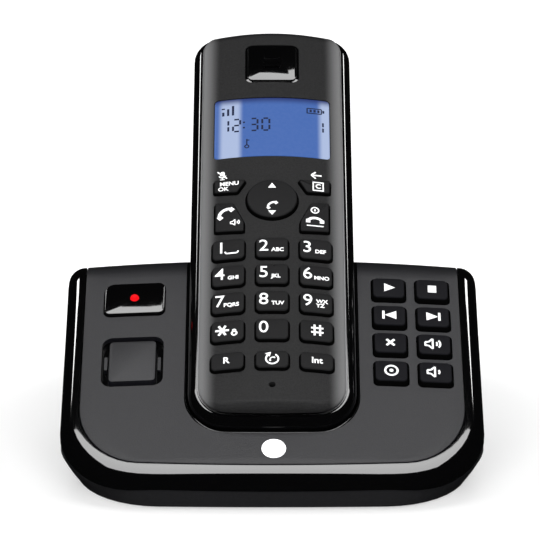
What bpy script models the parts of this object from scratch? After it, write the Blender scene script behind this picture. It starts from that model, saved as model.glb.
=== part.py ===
"""A cordless telephone: a desk base with an answering machine, and the handset that lies in it.

Metres, +Z up. Someone using the phone looks along +Y and has +X on their right. The base's
plate and the handset each have an empty whose X runs across, Y up the slope and Z out of the
surface, and the pieces are modelled in that empty's frame.
"""

import math
from dataclasses import dataclass, replace
from itertools import accumulate

import bmesh
import bpy
from mathutils import Vector

# Fits that the whole phone shares
GAP = 0.0003
OVERRUN = 0.002
LEAST_CORNER = 0.0006
CORNER_STEPS = 3
COLUMNS = 6
SHARP_ANGLE = math.radians(32)

# Plate of the base: its slope, its crown and the ridge that it rolls over
PLATE_SLOPE = math.radians(35)
FRONT_EDGE_HEIGHT = 0.0133
SIDE_PANEL_WIDTH = 0.0301
PLATE_CROWN_RADIUS = 0.714
PLATE_THICKNESS = 0.0018
PLATE_CORNER = (0.017, 0.019)
PLATE_BOW = 0.0009
RIDGE_MARGIN = 0.0064
RIDGE_RADIUS = 0.014
RIDGE_STEPS = 6
BACK_DROP = 0.0137
STRAIGHT_STATION = 0.045

# Gloss rim of the top case
RIM_WIDTH = 0.0056
RIM_REACH = 0.0069
RIM_DROP = 0.004
RIM_RIDGE_DROP = 0.003
RIM_DEEPEST_PAST = 0.0081
RIM_DEEP_RUN = 0.036
RIM_LAND = 0.001
RIM_CORNER = (0.024, 0.021)
RIM_BACK_CORNER = 0.010
RIM_BOW = 0.0025
RIM_CURVE_SHARES = (0.35, 0.6, 0.8, 0.93)
DECK_THICKNESS = 0.0018
SKIRT_INSET = 0.0028
SKIRT_END_INSET = 0.0034
SKIRT_DEPTH = 0.008
SKIRT_WALL = 0.002
RECESS_REACH = 0.008

# Bottom case, its feet and its screws
FOOT_HEIGHT = 0.001
FOOT_SIDE_INSET = 0.0191
FOOT_DEPTH = 0.008
FOOT_POCKET = 0.0008
FOOT_INSET_FRONT = 0.0124
FOOT_INSET_BACK = 0.0111
CASE_FLOOR = 0.0024
CASE_WALL = 0.0022
CASE_FOOT_INSET = (0.0028, 0.0018)
CASE_FOOT_CORNER = (0.024, 0.034)
CASE_BACK_CORNER = 0.003
CASE_TAPER_HEIGHT = 0.009
CASE_TAPER_SHARES = ((0.0, 1.0), (0.2, 0.65), (0.5, 0.26), (1.0, 0.0))
POST_INSET_SIDE = 0.0111
POST_RADIUS = 0.0028
POST_INSET_FRONT = 0.0250
POST_INSET_BACK = 0.0100
SCREW_SHANK_RADIUS = 0.0013
SCREW_HEAD_RADIUS = 0.0026
SCREW_HEAD_HEIGHT = 0.0007
SCREW_LENGTH = 0.0095
COUNTERBORE_DEPTH = 0.0012

# Keys of the base
BASE_KEY_PITCH = 0.0129
BASE_KEY_SHIFT = 0.0006
BASE_FIRST_ROW = 0.0338
BASE_ROW_STEPS = (0.0109, 0.0108, 0.0110)
BASE_KEY_SIZE = (0.0100, 0.0090)
BASE_KEY_TOP = (0.0092, 0.0074)
BASE_KEY_CORNER = 0.0013
BASE_KEY_RISE = 0.0016
LEFT_PANEL_SHIFT = 0.0003
PAGE_KEY_LIFT = 0.0052
PAGE_KEY_SIZE = (0.0138, 0.0144)
PAGE_GROOVE = (0.0175, 0.0183)
PAGE_KEY_CORNER = 0.0013
PAGE_KEY_RISE = 0.0003
KEY_TRAVEL = 0.0008
KEY_FLANGE = 0.0007
KEY_FLANGE_HEIGHT = 0.0008
KEY_SOFTENING = 0.0004
CORNER_POINTS = 3

# Message window and lamp
WINDOW_DROP = 0.00375
WINDOW_SIZE = (0.0178, 0.0131)
WINDOW_CORNERS = (0.0018, 0.0018, 0.003, 0.0018)
WINDOW_RISE = 0.001
LAMP_LIFT = 0.00105
LAMP_RADIUS = 0.0012

# Boards and sound in the base
KEY_BOARD_DEPTH = 0.0097
KEY_BOARD_CRADLE_GAP = 0.0016
KEY_BOARD_SIDE_INSET = 0.0015
KEY_BOARD_LEG_WIDTH = 0.007
KEY_BOARD_NEAR_MARGIN = 0.0063
KEY_BOARD_FAR_MARGIN = 0.0035
KEY_BOARD_BRIDGE = (0.0025, 0.0095)
BOARD_THICKNESS = 0.0016
BASE_MAT_THICKNESS = 0.0012
MAIN_BOARD_SPEAKER_GAP = 0.004
MAIN_BOARD_POST_GAP = 0.0012
MAIN_BOARD_INSET = 0.0035
MAIN_BOARD_DEPTH = 0.040
MAIN_BOARD_LIFT = 0.004
STANDOFF_RADIUS = 0.002
STANDOFF_INSET = 0.004
SHIELD_SIZE = (0.014, 0.018, 0.003)
SPEAKER_INSETS = (0.0231, 0.0454)
SPEAKER_RADIUS = 0.015
SPEAKER_RIM = 0.0018
SPEAKER_MAGNET_RADIUS = 0.0075
SPEAKER_HEIGHT = 0.009
GRILLE_SLOTS = 5
GRILLE_PITCH = 0.0036
GRILLE_SLOT = (0.016, 0.0016)

# Sockets at the back of the base
LINE_SOCKET_X = 0.006
LINE_SOCKET_SIZE = (0.0124, 0.0130, 0.0116)
LINE_BORE = (0.0098, 0.0070)
LINE_BORE_DEPTH = 0.0105
LINE_KEYWAY = (0.0062, 0.0016)
POWER_SOCKET_X = 0.028
POWER_SOCKET_SIZE = (0.0090, 0.0120, 0.0100)
POWER_BORE_RADIUS = 0.0032
POWER_PIN_RADIUS = 0.001
POWER_BORE_DEPTH = 0.0095

# Handset: where it lies, its outline and its sections
HANDSET_SLOPE = math.radians(37.5)
HANDSET_START = 0.0126
HAND_FOOT_CORNER = (0.011, 0.0115)
HAND_HEAD_CORNER = (0.0065, 0.0078)
HAND_FOOT_BOW = 0.001
HAND_HEAD_BOW = 0.0018
FACE_TOP = 0.0076
FACE_CROWN_RADIUS = 0.085
FACE_WALL = 0.0014
FACE_SIDE_INSET = 0.0031
FACE_END_INSET = 0.0027
FACE_ROUND_SIDE = 0.0007
FACE_ROUND_END = 0.0026
FACE_ROUND_SHARES = ((1.0, 1.0), (0.45, 0.8), (0.1, 0.4))
SEAM_HEIGHT = 0.0036
TRIM_THICKNESS = 0.0004
TRIM_WIDTH = 0.0012
TRIM_PROUD = 0.0005
LIP_INSET = 0.0011
REAR_TAPER = 0.008
REAR_END_TAPER = 0.009
REAR_CORNER_SHRINK = 0.25
REAR_CURVE_SHARES = ((0.27, 0.045), (0.53, 0.19), (0.74, 0.39), (0.9, 0.65), (1.0, 1.0))
SHOULDER_INSET = 0.0022
SHOULDER_SHARES = ((1.0, 1.0), (0.66, 0.42), (0.33, 0.1))
REAR_WALL = 0.0015
MOUTH_WALL = 0.0012

# Cradle that takes the handset
CRADLE_PLAY = 0.0005
CRADLE_WALL = 0.0005
CRADLE_REACH = 0.014
CRADLE_FLOOR = 0.002
CRADLE_FLANGE = 0.0018
CRADLE_FLANGE_THICKNESS = 0.0015
CRADLE_FLANGE_FROM = 0.0097
CRADLE_FLANGE_INSET = 0.0069
LIFT_CLEAR = 0.08

# Keys of the handset
NUMBER_KEY_SIZE = (0.0098, 0.0079)
BOTTOM_KEY_SIZE = (0.0098, 0.0064)
NUMBER_KEY_CORNER = 0.0016
NUMBER_KEY_PITCH = 0.0129
KEY_SIDE_MARGIN = 0.0035
BOTTOM_KEY_ROW = 0.0191
NUMBER_ROW_STEPS = (0.0113, 0.0106, 0.01035, 0.01025)
FACE_KEY_RISE = 0.0013
NAV_STEP = 0.0194
NAV_RADIUS = 0.0076
NAV_PLAY = 0.0005
NAV_HOLD_GAP = 0.0008
NAV_STEM_RADIUS = 0.0015
NAV_SEGMENTS = 24
# Corners of the keys beside the navigation key, across and up the face from its middle
SOFT_KEY_CORNERS = ((0.0176, 0.0088), (0.0077, 0.0078), (0.0104, 0.0030), (0.0175, 0.0035))
CALL_KEY_CORNERS = (
    (0.0172, -0.0005), (0.0118, -0.0008), (0.0083, -0.0089), (0.0083, -0.0127),
    (0.0171, -0.0121),
)

# Display, earpiece and microphone
DISPLAY_SIDE_MARGIN = 0.0037
DISPLAY_STEP = 0.0185
DISPLAY_LENGTH = 0.0241
DISPLAY_CORNER = 0.0012
DISPLAY_THICKNESS = 0.0006
DISPLAY_LEDGE = 0.0018
MODULE_INSET = 0.0014
MODULE_OVERLAP = 0.0015
MODULE_HEIGHT = 0.0024
EAR_STEP = 0.0147
EAR_HEAD_MARGIN = 0.0172
EAR_RECESS = (0.0169, 0.0162)
EAR_RECESS_DEPTH = 0.0005
EAR_COVER = (0.0151, 0.0148)
EAR_COVER_RISE = 0.0005
EAR_CORNER = 0.0026
EAR_SLOT = (0.0052, 0.0008)
EAR_SLOT_PITCH = 0.0018
EAR_HOLE_RADIUS = 0.003
EAR_SPEAKER_RADIUS = 0.007
EAR_SPEAKER_HEIGHT = 0.003
MIC_DROP = 0.0085
MIC_HOLE_RADIUS = 0.001
MIC_RADIUS = 0.002
MIC_HEIGHT = 0.0021

# Inside the handset
HAND_BOARD_TOP = 0.0013
HAND_BOARD_INSET = 0.0049
HAND_BOARD_FROM = 0.006
HAND_BOARD_HEAD_INSET = 0.0075
HAND_BOARD_CORNER = 0.006
HAND_MAT_INSET = 0.0066
HAND_MAT_NEAR_MARGIN = 0.0056
HAND_MAT_FAR_MARGIN = 0.013
HAND_SCREW_INSETS = (0.0099, 0.010)
HAND_PEG_INSETS = (0.0089, 0.0155)
HAND_POST_RADIUS = 0.0032
HAND_POST_LIFT = 0.0025
HAND_SCREW_SINK = 0.006
HAND_SCREW_SHANK = 0.001
HAND_SCREW_HEAD = 0.002
HAND_BOSS_RADIUS = 0.0022
HAND_SCREW_GRIP = 0.0027
SOUNDER_PLACE = 0.044
SOUNDER_RADIUS = 0.010
SOUNDER_HEIGHT = 0.0042
SOUNDER_SLOT = (0.010, 0.0012)
SOUNDER_PITCH = 0.003

# Battery, its tray and its door
CELL_RADIUS = 0.00525
CELL_LENGTH = 0.0445
CELL_SPACING = 0.0052
CELL_DOOR_INSET = 0.0091
PACK_POINTS = 5
TRAY_WALL = 0.0015
TRAY_BOARD_GAP = 0.0006
DOOR_SIDE_INSET = 0.0079
DOOR_LENGTH = 0.071
DOOR_HEAD_INSET = 0.0105
DOOR_THICKNESS = 0.0015
DOOR_SEAT_MARGIN = 0.0014

# Charging contacts
CONTACT_X = 0.007
CONTACT_PLACE = 0.014
CONTACT_SIZE = (0.005, 0.007)
CONTACT_RECESS = 0.0001
CONTACT_FLANGE = 0.001
PIN_RADIUS = 0.00125
PIN_CARRIER_MARGIN = 0.0024
PIN_CARRIER_HEIGHT = 0.0012
ROUND_SEGMENTS = 12
SMALL_SEGMENTS = 8

# Worked out from the sizes above: the handset, from its keys and its battery outwards
HAND_HALF_WIDTH = NUMBER_KEY_PITCH + NUMBER_KEY_SIZE[0] / 2 + KEY_SIDE_MARGIN + FACE_SIDE_INSET
NUMBER_KEY_ROWS = tuple(accumulate(NUMBER_ROW_STEPS, initial=BOTTOM_KEY_ROW))[:0:-1]
NAV_PLACE = NUMBER_KEY_ROWS[0] + NAV_STEP
DISPLAY_HALF_WIDTH = HAND_HALF_WIDTH - FACE_SIDE_INSET - DISPLAY_SIDE_MARGIN
MODULE_HALF_WIDTH = DISPLAY_HALF_WIDTH - MODULE_INSET
DISPLAY_FROM = NAV_PLACE + DISPLAY_STEP
DISPLAY_TO = DISPLAY_FROM + DISPLAY_LENGTH
EAR_PLACE = DISPLAY_TO + EAR_STEP
HAND_LENGTH = EAR_PLACE + EAR_HEAD_MARGIN
HAND_STATION = HAND_LENGTH / 2
MIC_PLACE = BOTTOM_KEY_ROW - MIC_DROP
HAND_BOARD_HALF_WIDTH = HAND_HALF_WIDTH - HAND_BOARD_INSET
HAND_BOARD_TO = HAND_LENGTH - HAND_BOARD_HEAD_INSET
HAND_MAT_HALF_WIDTH = HAND_HALF_WIDTH - HAND_MAT_INSET
HAND_MAT_FROM = BOTTOM_KEY_ROW - HAND_MAT_NEAR_MARGIN
HAND_MAT_TO = NAV_PLACE + HAND_MAT_FAR_MARGIN
HAND_SCREW_PLACE = (HAND_HALF_WIDTH - HAND_SCREW_INSETS[0], HAND_SCREW_INSETS[1])
HAND_PEG_PLACE = (HAND_HALF_WIDTH - HAND_PEG_INSETS[0], HAND_LENGTH - HAND_PEG_INSETS[1])
DOOR_HALF_WIDTH = HAND_HALF_WIDTH - DOOR_SIDE_INSET
DOOR_TO = HAND_LENGTH - DOOR_HEAD_INSET
DOOR_FROM = DOOR_TO - DOOR_LENGTH
CELL_FROM = DOOR_FROM + CELL_DOOR_INSET
HAND_BOARD_UNDERSIDE = HAND_BOARD_TOP - BOARD_THICKNESS
TRAY_DEPTH = TRAY_WALL + 2 * (CELL_RADIUS + GAP) + DOOR_THICKNESS
REAR_DEPTH = TRAY_BOARD_GAP - HAND_BOARD_UNDERSIDE + TRAY_DEPTH
HAND_POST_FOOT = REAR_DEPTH - HAND_POST_LIFT
HAND_SCREW_SEAT = REAR_DEPTH - HAND_SCREW_SINK

# The base, from the cradle outwards
CRADLE_OUTSIDE = CRADLE_PLAY + CRADLE_WALL
CRADLE_HALF_WIDTH = HAND_HALF_WIDTH + CRADLE_OUTSIDE
PLATE_HALF_WIDTH = CRADLE_HALF_WIDTH + SIDE_PANEL_WIDTH
CASE_HALF_WIDTH = PLATE_HALF_WIDTH + RIM_WIDTH
PANEL_MIDDLE = CRADLE_HALF_WIDTH + SIDE_PANEL_WIDTH / 2
BASE_KEY_COLUMNS = tuple(
    PANEL_MIDDLE + BASE_KEY_SHIFT + side * BASE_KEY_PITCH / 2 for side in (-1, 1)
)
BASE_KEY_ROWS = tuple(accumulate(BASE_ROW_STEPS, initial=BASE_FIRST_ROW))[::-1]
LEFT_PANEL_X = -PANEL_MIDDLE - LEFT_PANEL_SHIFT
PAGE_KEY_PLACE = (LEFT_PANEL_X, BASE_FIRST_ROW + PAGE_KEY_LIFT)
WINDOW_PLACE = (LEFT_PANEL_X, BASE_KEY_ROWS[0] - WINDOW_DROP)
LAMP_PLACE = (LEFT_PANEL_X, WINDOW_PLACE[1] + LAMP_LIFT)
RIDGE_START = BASE_KEY_ROWS[0] + RIDGE_MARGIN
CRADLE_FLANGE_TO = RIDGE_START - CRADLE_FLANGE_INSET
KEY_BOARD_INNER = CRADLE_HALF_WIDTH + KEY_BOARD_CRADLE_GAP
KEY_BOARD_OUTER = PLATE_HALF_WIDTH - KEY_BOARD_SIDE_INSET
KEY_BOARD_LEG = KEY_BOARD_INNER + KEY_BOARD_LEG_WIDTH
KEY_BOARD_FROM = BASE_FIRST_ROW - KEY_BOARD_NEAR_MARGIN
KEY_BOARD_TO = BASE_KEY_ROWS[0] + KEY_BOARD_FAR_MARGIN
POST_X = CASE_HALF_WIDTH - POST_INSET_SIDE
SPEAKER_PLACE = (SPEAKER_INSETS[0] - CASE_HALF_WIDTH, SPEAKER_INSETS[1])
MAIN_BOARD_X = (
    SPEAKER_PLACE[0] + SPEAKER_RADIUS + MAIN_BOARD_SPEAKER_GAP,
    POST_X - POST_RADIUS - MAIN_BOARD_POST_GAP,
)
FOOT_SIZE = (2 * (CASE_HALF_WIDTH - FOOT_SIDE_INSET), FOOT_DEPTH)
WRAP = math.pi / 2 + PLATE_SLOPE
RIDGE_END = RIDGE_START + RIDGE_RADIUS * WRAP
RIM_END = RIDGE_END + BACK_DROP
PLATE_END = RIM_END - RIM_REACH
RIM_DEEPEST = RIDGE_START + RIM_DEEPEST_PAST
DECK_TOP = PLATE_THICKNESS + GAP
DECK_UNDERSIDE = DECK_TOP + DECK_THICKNESS
CASE_BASE = FOOT_HEIGHT
CASE_FLOOR_TOP = CASE_BASE + CASE_FLOOR
FACE_SEAM = SEAM_HEIGHT + TRIM_THICKNESS + GAP
REAR_MOUTH = SEAM_HEIGHT - GAP
HAND_LIP_BOTTOM = HAND_BOARD_TOP + GAP
FACE_KEY_HOLD = FACE_WALL + GAP
FACE_KEY_BOTTOM = FACE_KEY_HOLD + KEY_FLANGE_HEIGHT
HAND_MAT_DROP = FACE_KEY_BOTTOM + KEY_TRAVEL + GAP
CRADLE_BOTTOM = REAR_DEPTH + CRADLE_PLAY + CRADLE_FLOOR
DOOR_SEAT = REAR_DEPTH - DOOR_THICKNESS - GAP
CELL_DEPTH = REAR_DEPTH - DOOR_THICKNESS - GAP - CELL_RADIUS
TRAY_CEILING = CELL_DEPTH - CELL_RADIUS - GAP


@dataclass(frozen=True)
class Outline:
    """A long outline that is alike left and right, with elliptical corners and bowed ends."""

    half_width: float
    start: float
    end: float
    front: tuple
    back: tuple
    bow: tuple = (0.0, 0.0)

    def grown(self, side, ends=None):
        """The outline moved outwards by side, and by ends at both ends."""
        ends = side if ends is None else ends
        corners = [
            (max(across + side, LEAST_CORNER), max(along + ends, LEAST_CORNER))
            for across, along in (self.front, self.back)
        ]
        return replace(
            self,
            half_width=self.half_width + side,
            start=self.start - ends,
            end=self.end + ends,
            front=corners[0],
            back=corners[1],
        )

    def blended(self, other, share):
        """The outline that lies this share of the way to the other one."""
        def mix(a, b):
            return a + (b - a) * share

        def mix_pair(a, b):
            return (mix(a[0], b[0]), mix(a[1], b[1]))

        return Outline(
            mix(self.half_width, other.half_width),
            mix(self.start, other.start),
            mix(self.end, other.end),
            mix_pair(self.front, other.front),
            mix_pair(self.back, other.back),
            mix_pair(self.bow, other.bow),
        )

    def across(self, half, base, bow):
        """One row of points, bowed by its share of the outline's width."""
        row = []
        for column in range(COLUMNS + 1):
            x = half * (2 * column / COLUMNS - 1)
            row.append((x, base + bow * (x / self.half_width) ** 2))
        return row

    def level_row(self, half, s):
        """One straight row of points."""
        return self.across(half, s, 0.0)

    def rows(self, stations=()):
        """Rows of (x, s) points from the front end to the back end."""
        found = []
        for step in range(CORNER_STEPS + 1):
            turn = math.pi / 2 * step / CORNER_STEPS
            half = self.half_width - self.front[0] * (1 - math.sin(turn))
            s = self.start + self.front[1] * (1 - math.cos(turn))
            if step == 0:
                found.append(self.across(half, s, self.bow[0]))
            else:
                found.append(self.level_row(half, s + self.bow[0] * (half / self.half_width) ** 2))
        found += [self.level_row(self.half_width, s) for s in stations]
        for step in range(CORNER_STEPS, -1, -1):
            turn = math.pi / 2 * step / CORNER_STEPS
            half = self.half_width - self.back[0] * (1 - math.sin(turn))
            s = self.end - self.back[1] * (1 - math.cos(turn))
            if step == 0:
                found.append(self.across(half, s, -self.bow[1]))
            else:
                found.append(self.level_row(half, s - self.bow[1] * (half / self.half_width) ** 2))
        return found


def as_is(x, y, z):
    return (x, y, z)


def along_y(x, y, z):
    """Stands a shape that is modelled along z on its side, along y."""
    return (x, z, y)


def over_ridge(x, s, n):
    """A point s along the plate's profile and n above it, in the plate's frame."""
    if s <= RIDGE_START:
        return (x, s, n)
    turn = min((s - RIDGE_START) / RIDGE_RADIUS, WRAP)
    run = max(s - RIDGE_END, 0.0)
    radius = RIDGE_RADIUS + n
    return (
        x,
        RIDGE_START + radius * math.sin(turn) + run * math.cos(turn),
        radius * math.cos(turn) - RIDGE_RADIUS - run * math.sin(turn),
    )


def plate_crown(x):
    return math.sqrt(PLATE_CROWN_RADIUS**2 - x**2) - PLATE_CROWN_RADIUS


def face(x):
    """Height of the handset's crowned face over its widest line."""
    return FACE_TOP + math.sqrt(FACE_CROWN_RADIUS**2 - x**2) - FACE_CROWN_RADIUS


def flat(height):
    return lambda x, s: height


def over(surface, lift):
    return lambda x, s: surface(x) + lift


def slope_point(s, n):
    """(y, z) of a point of the plate's profile, measured from the plate's front edge."""
    _, t, up = over_ridge(0.0, s, n)
    cosine, sine = math.cos(PLATE_SLOPE), math.sin(PLATE_SLOPE)
    return (t * cosine - up * sine, t * sine + up * cosine + FRONT_EDGE_HEIGHT)


def ring_of(rows):
    """The points round a grid of rows, anticlockwise from above."""
    right = [row[-1] for row in rows[1:-1]]
    left = [row[0] for row in reversed(rows[1:-1])]
    return list(rows[0]) + right + list(reversed(rows[-1])) + left


def add_walls(bm, upper, lower):
    for index in range(len(upper)):
        bm.faces.new((upper[index - 1], lower[index - 1], lower[index], upper[index]))


def add_layers(bm, levels, place=as_is):
    """A solid between the first and the last of the levels, each (rows, height function)."""
    rings = []
    for number, (rows, height) in enumerate(levels):
        if 0 < number < len(levels) - 1:
            rings.append([bm.verts.new(place(x, s, height(x, s))) for x, s in ring_of(rows)])
            continue
        grid = [[bm.verts.new(place(x, s, height(x, s))) for x, s in row] for row in rows]
        for near, far in zip(grid, grid[1:]):
            for a, b, c, d in zip(near, near[1:], far[1:], far):
                bm.faces.new((a, b, c, d))
        rings.append(ring_of(grid))
    for upper, lower in zip(rings, rings[1:]):
        add_walls(bm, upper, lower)


def add_band(bm, outer, inner, top, bottom):
    """A closed ring between two outlines' rows, from the bottom height to the top height."""
    rings = []
    for rows, height in ((outer, top), (inner, top), (inner, bottom), (outer, bottom)):
        rings.append([bm.verts.new((x, s, height)) for x, s in ring_of(rows)])
    for upper, lower in zip(rings, rings[1:] + rings[:1]):
        add_walls(bm, upper, lower)


def add_stack(bm, rings, place=as_is):
    """A solid through rings of points, each (points, height function), capped at both ends."""
    loops = [[bm.verts.new(place(x, y, height(x, y))) for x, y in points] for points, height in rings]
    for upper, lower in zip(loops, loops[1:]):
        add_walls(bm, upper, lower)
    bm.faces.new(loops[0])
    bm.faces.new(loops[-1])


def add_prism(bm, points, low, high, place=as_is):
    add_stack(bm, [(points, flat(high)), (points, flat(low))], place)


def add_box(bm, x_range, y_range, z_range):
    (left, right), (near, far) = x_range, y_range
    add_prism(bm, [(left, near), (right, near), (right, far), (left, far)], *z_range)


def add_turned(bm, centre, profile, segments=ROUND_SEGMENTS, place=as_is):
    """A turned solid from (radius, height) pairs, from the top to the bottom."""
    add_stack(bm, [(circle(centre, r, segments), flat(z)) for r, z in profile], place)


def circle(centre, radius, segments=ROUND_SEGMENTS):
    turns = [2 * math.pi * index / segments for index in range(segments)]
    return [(centre[0] + radius * math.cos(t), centre[1] + radius * math.sin(t)) for t in turns]


def rounded(centre, size, corners, steps=CORNER_POINTS):
    """A rectangle with rounded corners, one radius or four: near right, far right, far left, near left."""
    radii = corners if isinstance(corners, tuple) else (corners,) * 4
    signs = ((1, -1), (1, 1), (-1, 1), (-1, -1))
    points = []
    for number, (radius, (side, end)) in enumerate(zip(radii, signs)):
        x = centre[0] + side * (size[0] / 2 - radius)
        y = centre[1] + end * (size[1] / 2 - radius)
        for step in range(steps):
            turn = math.pi / 2 * (number - 1 + step / (steps - 1))
            points.append((x + radius * math.cos(turn), y + radius * math.sin(turn)))
    return points


def offset(points, distance):
    """The outline with each side moved outwards, for points that run anticlockwise."""
    moved = []
    for index, point in enumerate(points):
        here = Vector(point)
        before = (here - Vector(points[index - 1])).normalized()
        after = (Vector(points[(index + 1) % len(points)]) - here).normalized()
        out = Vector((before.y + after.y, -before.x - after.x))
        moved.append(tuple(here + out * (distance / (1 + before.dot(after)))))
    return moved


def softened(points, radius, steps=CORNER_POINTS):
    """The outline with each corner cut back and rounded."""
    soft = []
    for index, point in enumerate(points):
        here = Vector(point)
        to_before = (Vector(points[index - 1]) - here).normalized()
        to_after = (Vector(points[(index + 1) % len(points)]) - here).normalized()
        for step in range(steps):
            share = step / (steps - 1)
            pull = to_before * (1 - share) ** 2 + to_after * share**2
            soft.append(tuple(here + pull * radius))
    return soft


def swapped(points):
    """The outline on the other side of the middle, still anticlockwise."""
    return [(-x, y) for x, y in reversed(points)]


def remove_everything():
    for obj in list(bpy.data.objects):
        bpy.data.objects.remove(obj, do_unlink=True)


def material(name, colour, roughness, metallic=0.0):
    made = bpy.data.materials.new(name)
    made.use_nodes = True
    shader = made.node_tree.nodes["Principled BSDF"]
    shader.inputs["Base Color"].default_value = (*colour, 1.0)
    shader.inputs["Roughness"].default_value = roughness
    shader.inputs["Metallic"].default_value = metallic
    made.diffuse_color = (*colour, 1.0)
    return made


def frame_empty(name, parent, location=(0.0, 0.0, 0.0), slope=0.0):
    empty = bpy.data.objects.new(name, None)
    bpy.context.scene.collection.objects.link(empty)
    empty.parent = parent
    empty.location = location
    empty.rotation_euler = (slope, 0.0, 0.0)
    return empty


def make(name, bm, look, frame, pivot=(0.0, 0.0, 0.0)):
    """The object of a bmesh that is modelled in the frame, with its origin at the pivot."""
    bmesh.ops.recalc_face_normals(bm, faces=bm.faces)
    bmesh.ops.translate(bm, verts=bm.verts, vec=-Vector(pivot))
    mesh = bpy.data.meshes.new(name)
    bm.to_mesh(mesh)
    bm.free()
    obj = bpy.data.objects.new(name, mesh)
    bpy.context.scene.collection.objects.link(obj)
    obj.parent = frame
    obj.location = pivot
    if look is None:
        obj.hide_render = True
        obj.display_type = "WIRE"
    else:
        mesh.materials.append(look)
        mesh.shade_smooth()
        mesh.set_sharp_from_angle(angle=SHARP_ANGLE)
    return obj


def tool(name, bm, frame):
    """A hidden cutter or filler for a Boolean."""
    return make(name, bm, None, frame)


def change(obj, other, operation="DIFFERENCE"):
    step = obj.modifiers.new(other.name, "BOOLEAN")
    step.operation = operation
    step.solver = "EXACT"
    step.object = other


PLATE = Outline(
    PLATE_HALF_WIDTH, 0.0, PLATE_END, PLATE_CORNER, (RIM_LAND * 5, RIM_LAND * 5), (PLATE_BOW, 0.0)
)
RIM = Outline(
    CASE_HALF_WIDTH,
    -RIM_REACH,
    RIM_END,
    RIM_CORNER,
    (RIM_BACK_CORNER, RIM_BACK_CORNER),
    (RIM_BOW, 0.0),
)
HANDSET = Outline(
    HAND_HALF_WIDTH, 0.0, HAND_LENGTH, HAND_FOOT_CORNER, HAND_HEAD_CORNER,
    (HAND_FOOT_BOW, HAND_HEAD_BOW),
)
RIDGE_STATIONS = [STRAIGHT_STATION] + [
    RIDGE_START + RIDGE_RADIUS * WRAP * step / RIDGE_STEPS for step in range(RIDGE_STEPS + 1)
]


def plate_rows(outline):
    return outline.rows(RIDGE_STATIONS)


def hand_rows(side, ends):
    """Rows of the handset's outline moved inwards by side, and by ends at both ends."""
    return HANDSET.grown(-side, -ends).rows((HAND_STATION,))


def rear_rows(side, ends):
    """Rows of the outline moved inwards, with corners at the head that stay round."""
    insets = zip(HAND_HEAD_CORNER, (side, ends))
    corner = tuple(radius - REAR_CORNER_SHRINK * inset for radius, inset in insets)
    return replace(HANDSET.grown(-side, -ends), back=corner).rows((HAND_STATION,))


def rear_levels(grow=0.0):
    """Levels of the handset's rear from its widest line down, moved outwards by grow."""
    levels = [(hand_rows(-grow, -grow), flat(0.0))]
    for depth_share, inset_share in REAR_CURVE_SHARES:
        rows = rear_rows(REAR_TAPER * inset_share - grow, REAR_END_TAPER * inset_share - grow)
        levels.append((rows, flat(-(REAR_DEPTH + grow) * depth_share)))
    return levels


def rear_solid(bm):
    """The full outer form of the handset's rear."""
    shoulder = [
        (hand_rows(SHOULDER_INSET * inset, SHOULDER_INSET * inset), flat(REAR_MOUTH * height))
        for height, inset in SHOULDER_SHARES
    ]
    add_layers(bm, shoulder + rear_levels())


def base_keys():
    """(name, centre) of the eight keys on the right of the plate."""
    names = (
        ("play_key", "stop_key"),
        ("previous_key", "next_key"),
        ("delete_key", "volume_up_key"),
        ("information_key", "volume_down_key"),
    )
    for row, pair in zip(BASE_KEY_ROWS, names):
        for column, name in zip(BASE_KEY_COLUMNS, pair):
            yield name, (column, row)


def face_keys():
    """(name, centre, outline) of the handset's press keys."""
    number = 1
    for row in NUMBER_KEY_ROWS[:3]:
        for column in (-NUMBER_KEY_PITCH, 0.0, NUMBER_KEY_PITCH):
            yield f"number_key_{number}", *centred_key((column, row), NUMBER_KEY_SIZE)
            number += 1
    for column, name in ((-1, "star_key"), (0, "number_key_0"), (1, "hash_key")):
        place = (column * NUMBER_KEY_PITCH, NUMBER_KEY_ROWS[3])
        yield name, *centred_key(place, NUMBER_KEY_SIZE)
    for column, name in ((-1, "recall_key"), (0, "redial_key"), (1, "intercom_key")):
        place = (column * NUMBER_KEY_PITCH, BOTTOM_KEY_ROW)
        yield name, *centred_key(place, BOTTOM_KEY_SIZE)
    for corners, left, right in (
        (SOFT_KEY_CORNERS, "left_soft_key", "right_soft_key"),
        (CALL_KEY_CORNERS, "talk_key", "end_key"),
    ):
        # The corners are those of the right key, anticlockwise
        points = [(x, NAV_PLACE + up) for x, up in corners]
        outline = softened(points, KEY_FLANGE)
        centre = tuple(sum(axis) / len(points) for axis in zip(*points))
        yield right, centre, outline
        yield left, (-centre[0], centre[1]), swapped(outline)


def centred_key(place, size):
    return place, rounded(place, size, NUMBER_KEY_CORNER)


def press_key(name, centre, rings, frame):
    bm = bmesh.new()
    add_stack(bm, rings)
    make(name, bm, LOOKS["key"], frame, (*centre, 0.0))


def key_holes(bm, frame_keys, low, high, growth=GAP):
    for outline in frame_keys:
        add_prism(bm, offset(outline, growth), low, high)


def slab_levels():
    """Outer levels of the top case, from the plate's edge round the rim to the skirt."""
    lip = PLATE.grown(RIM_LAND)
    levels = [(plate_rows(lip), over(plate_crown, 0.0))]
    for share in RIM_CURVE_SHARES:
        drop = 1 - math.sqrt(1 - share**2)
        rows = plate_rows(lip.blended(RIM, share))
        levels.append((rows, rim_height(drop)))
    levels.append((plate_rows(RIM), rim_edge))
    skirt = RIM.grown(-SKIRT_INSET, -SKIRT_END_INSET)
    levels.append((plate_rows(skirt), rim_edge))
    levels.append((plate_rows(skirt), flat(-SKIRT_DEPTH)))
    return levels


def rim_height(drop):
    return lambda x, s: plate_crown(x) * (1 - drop) + rim_edge(x, s) * drop


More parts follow.
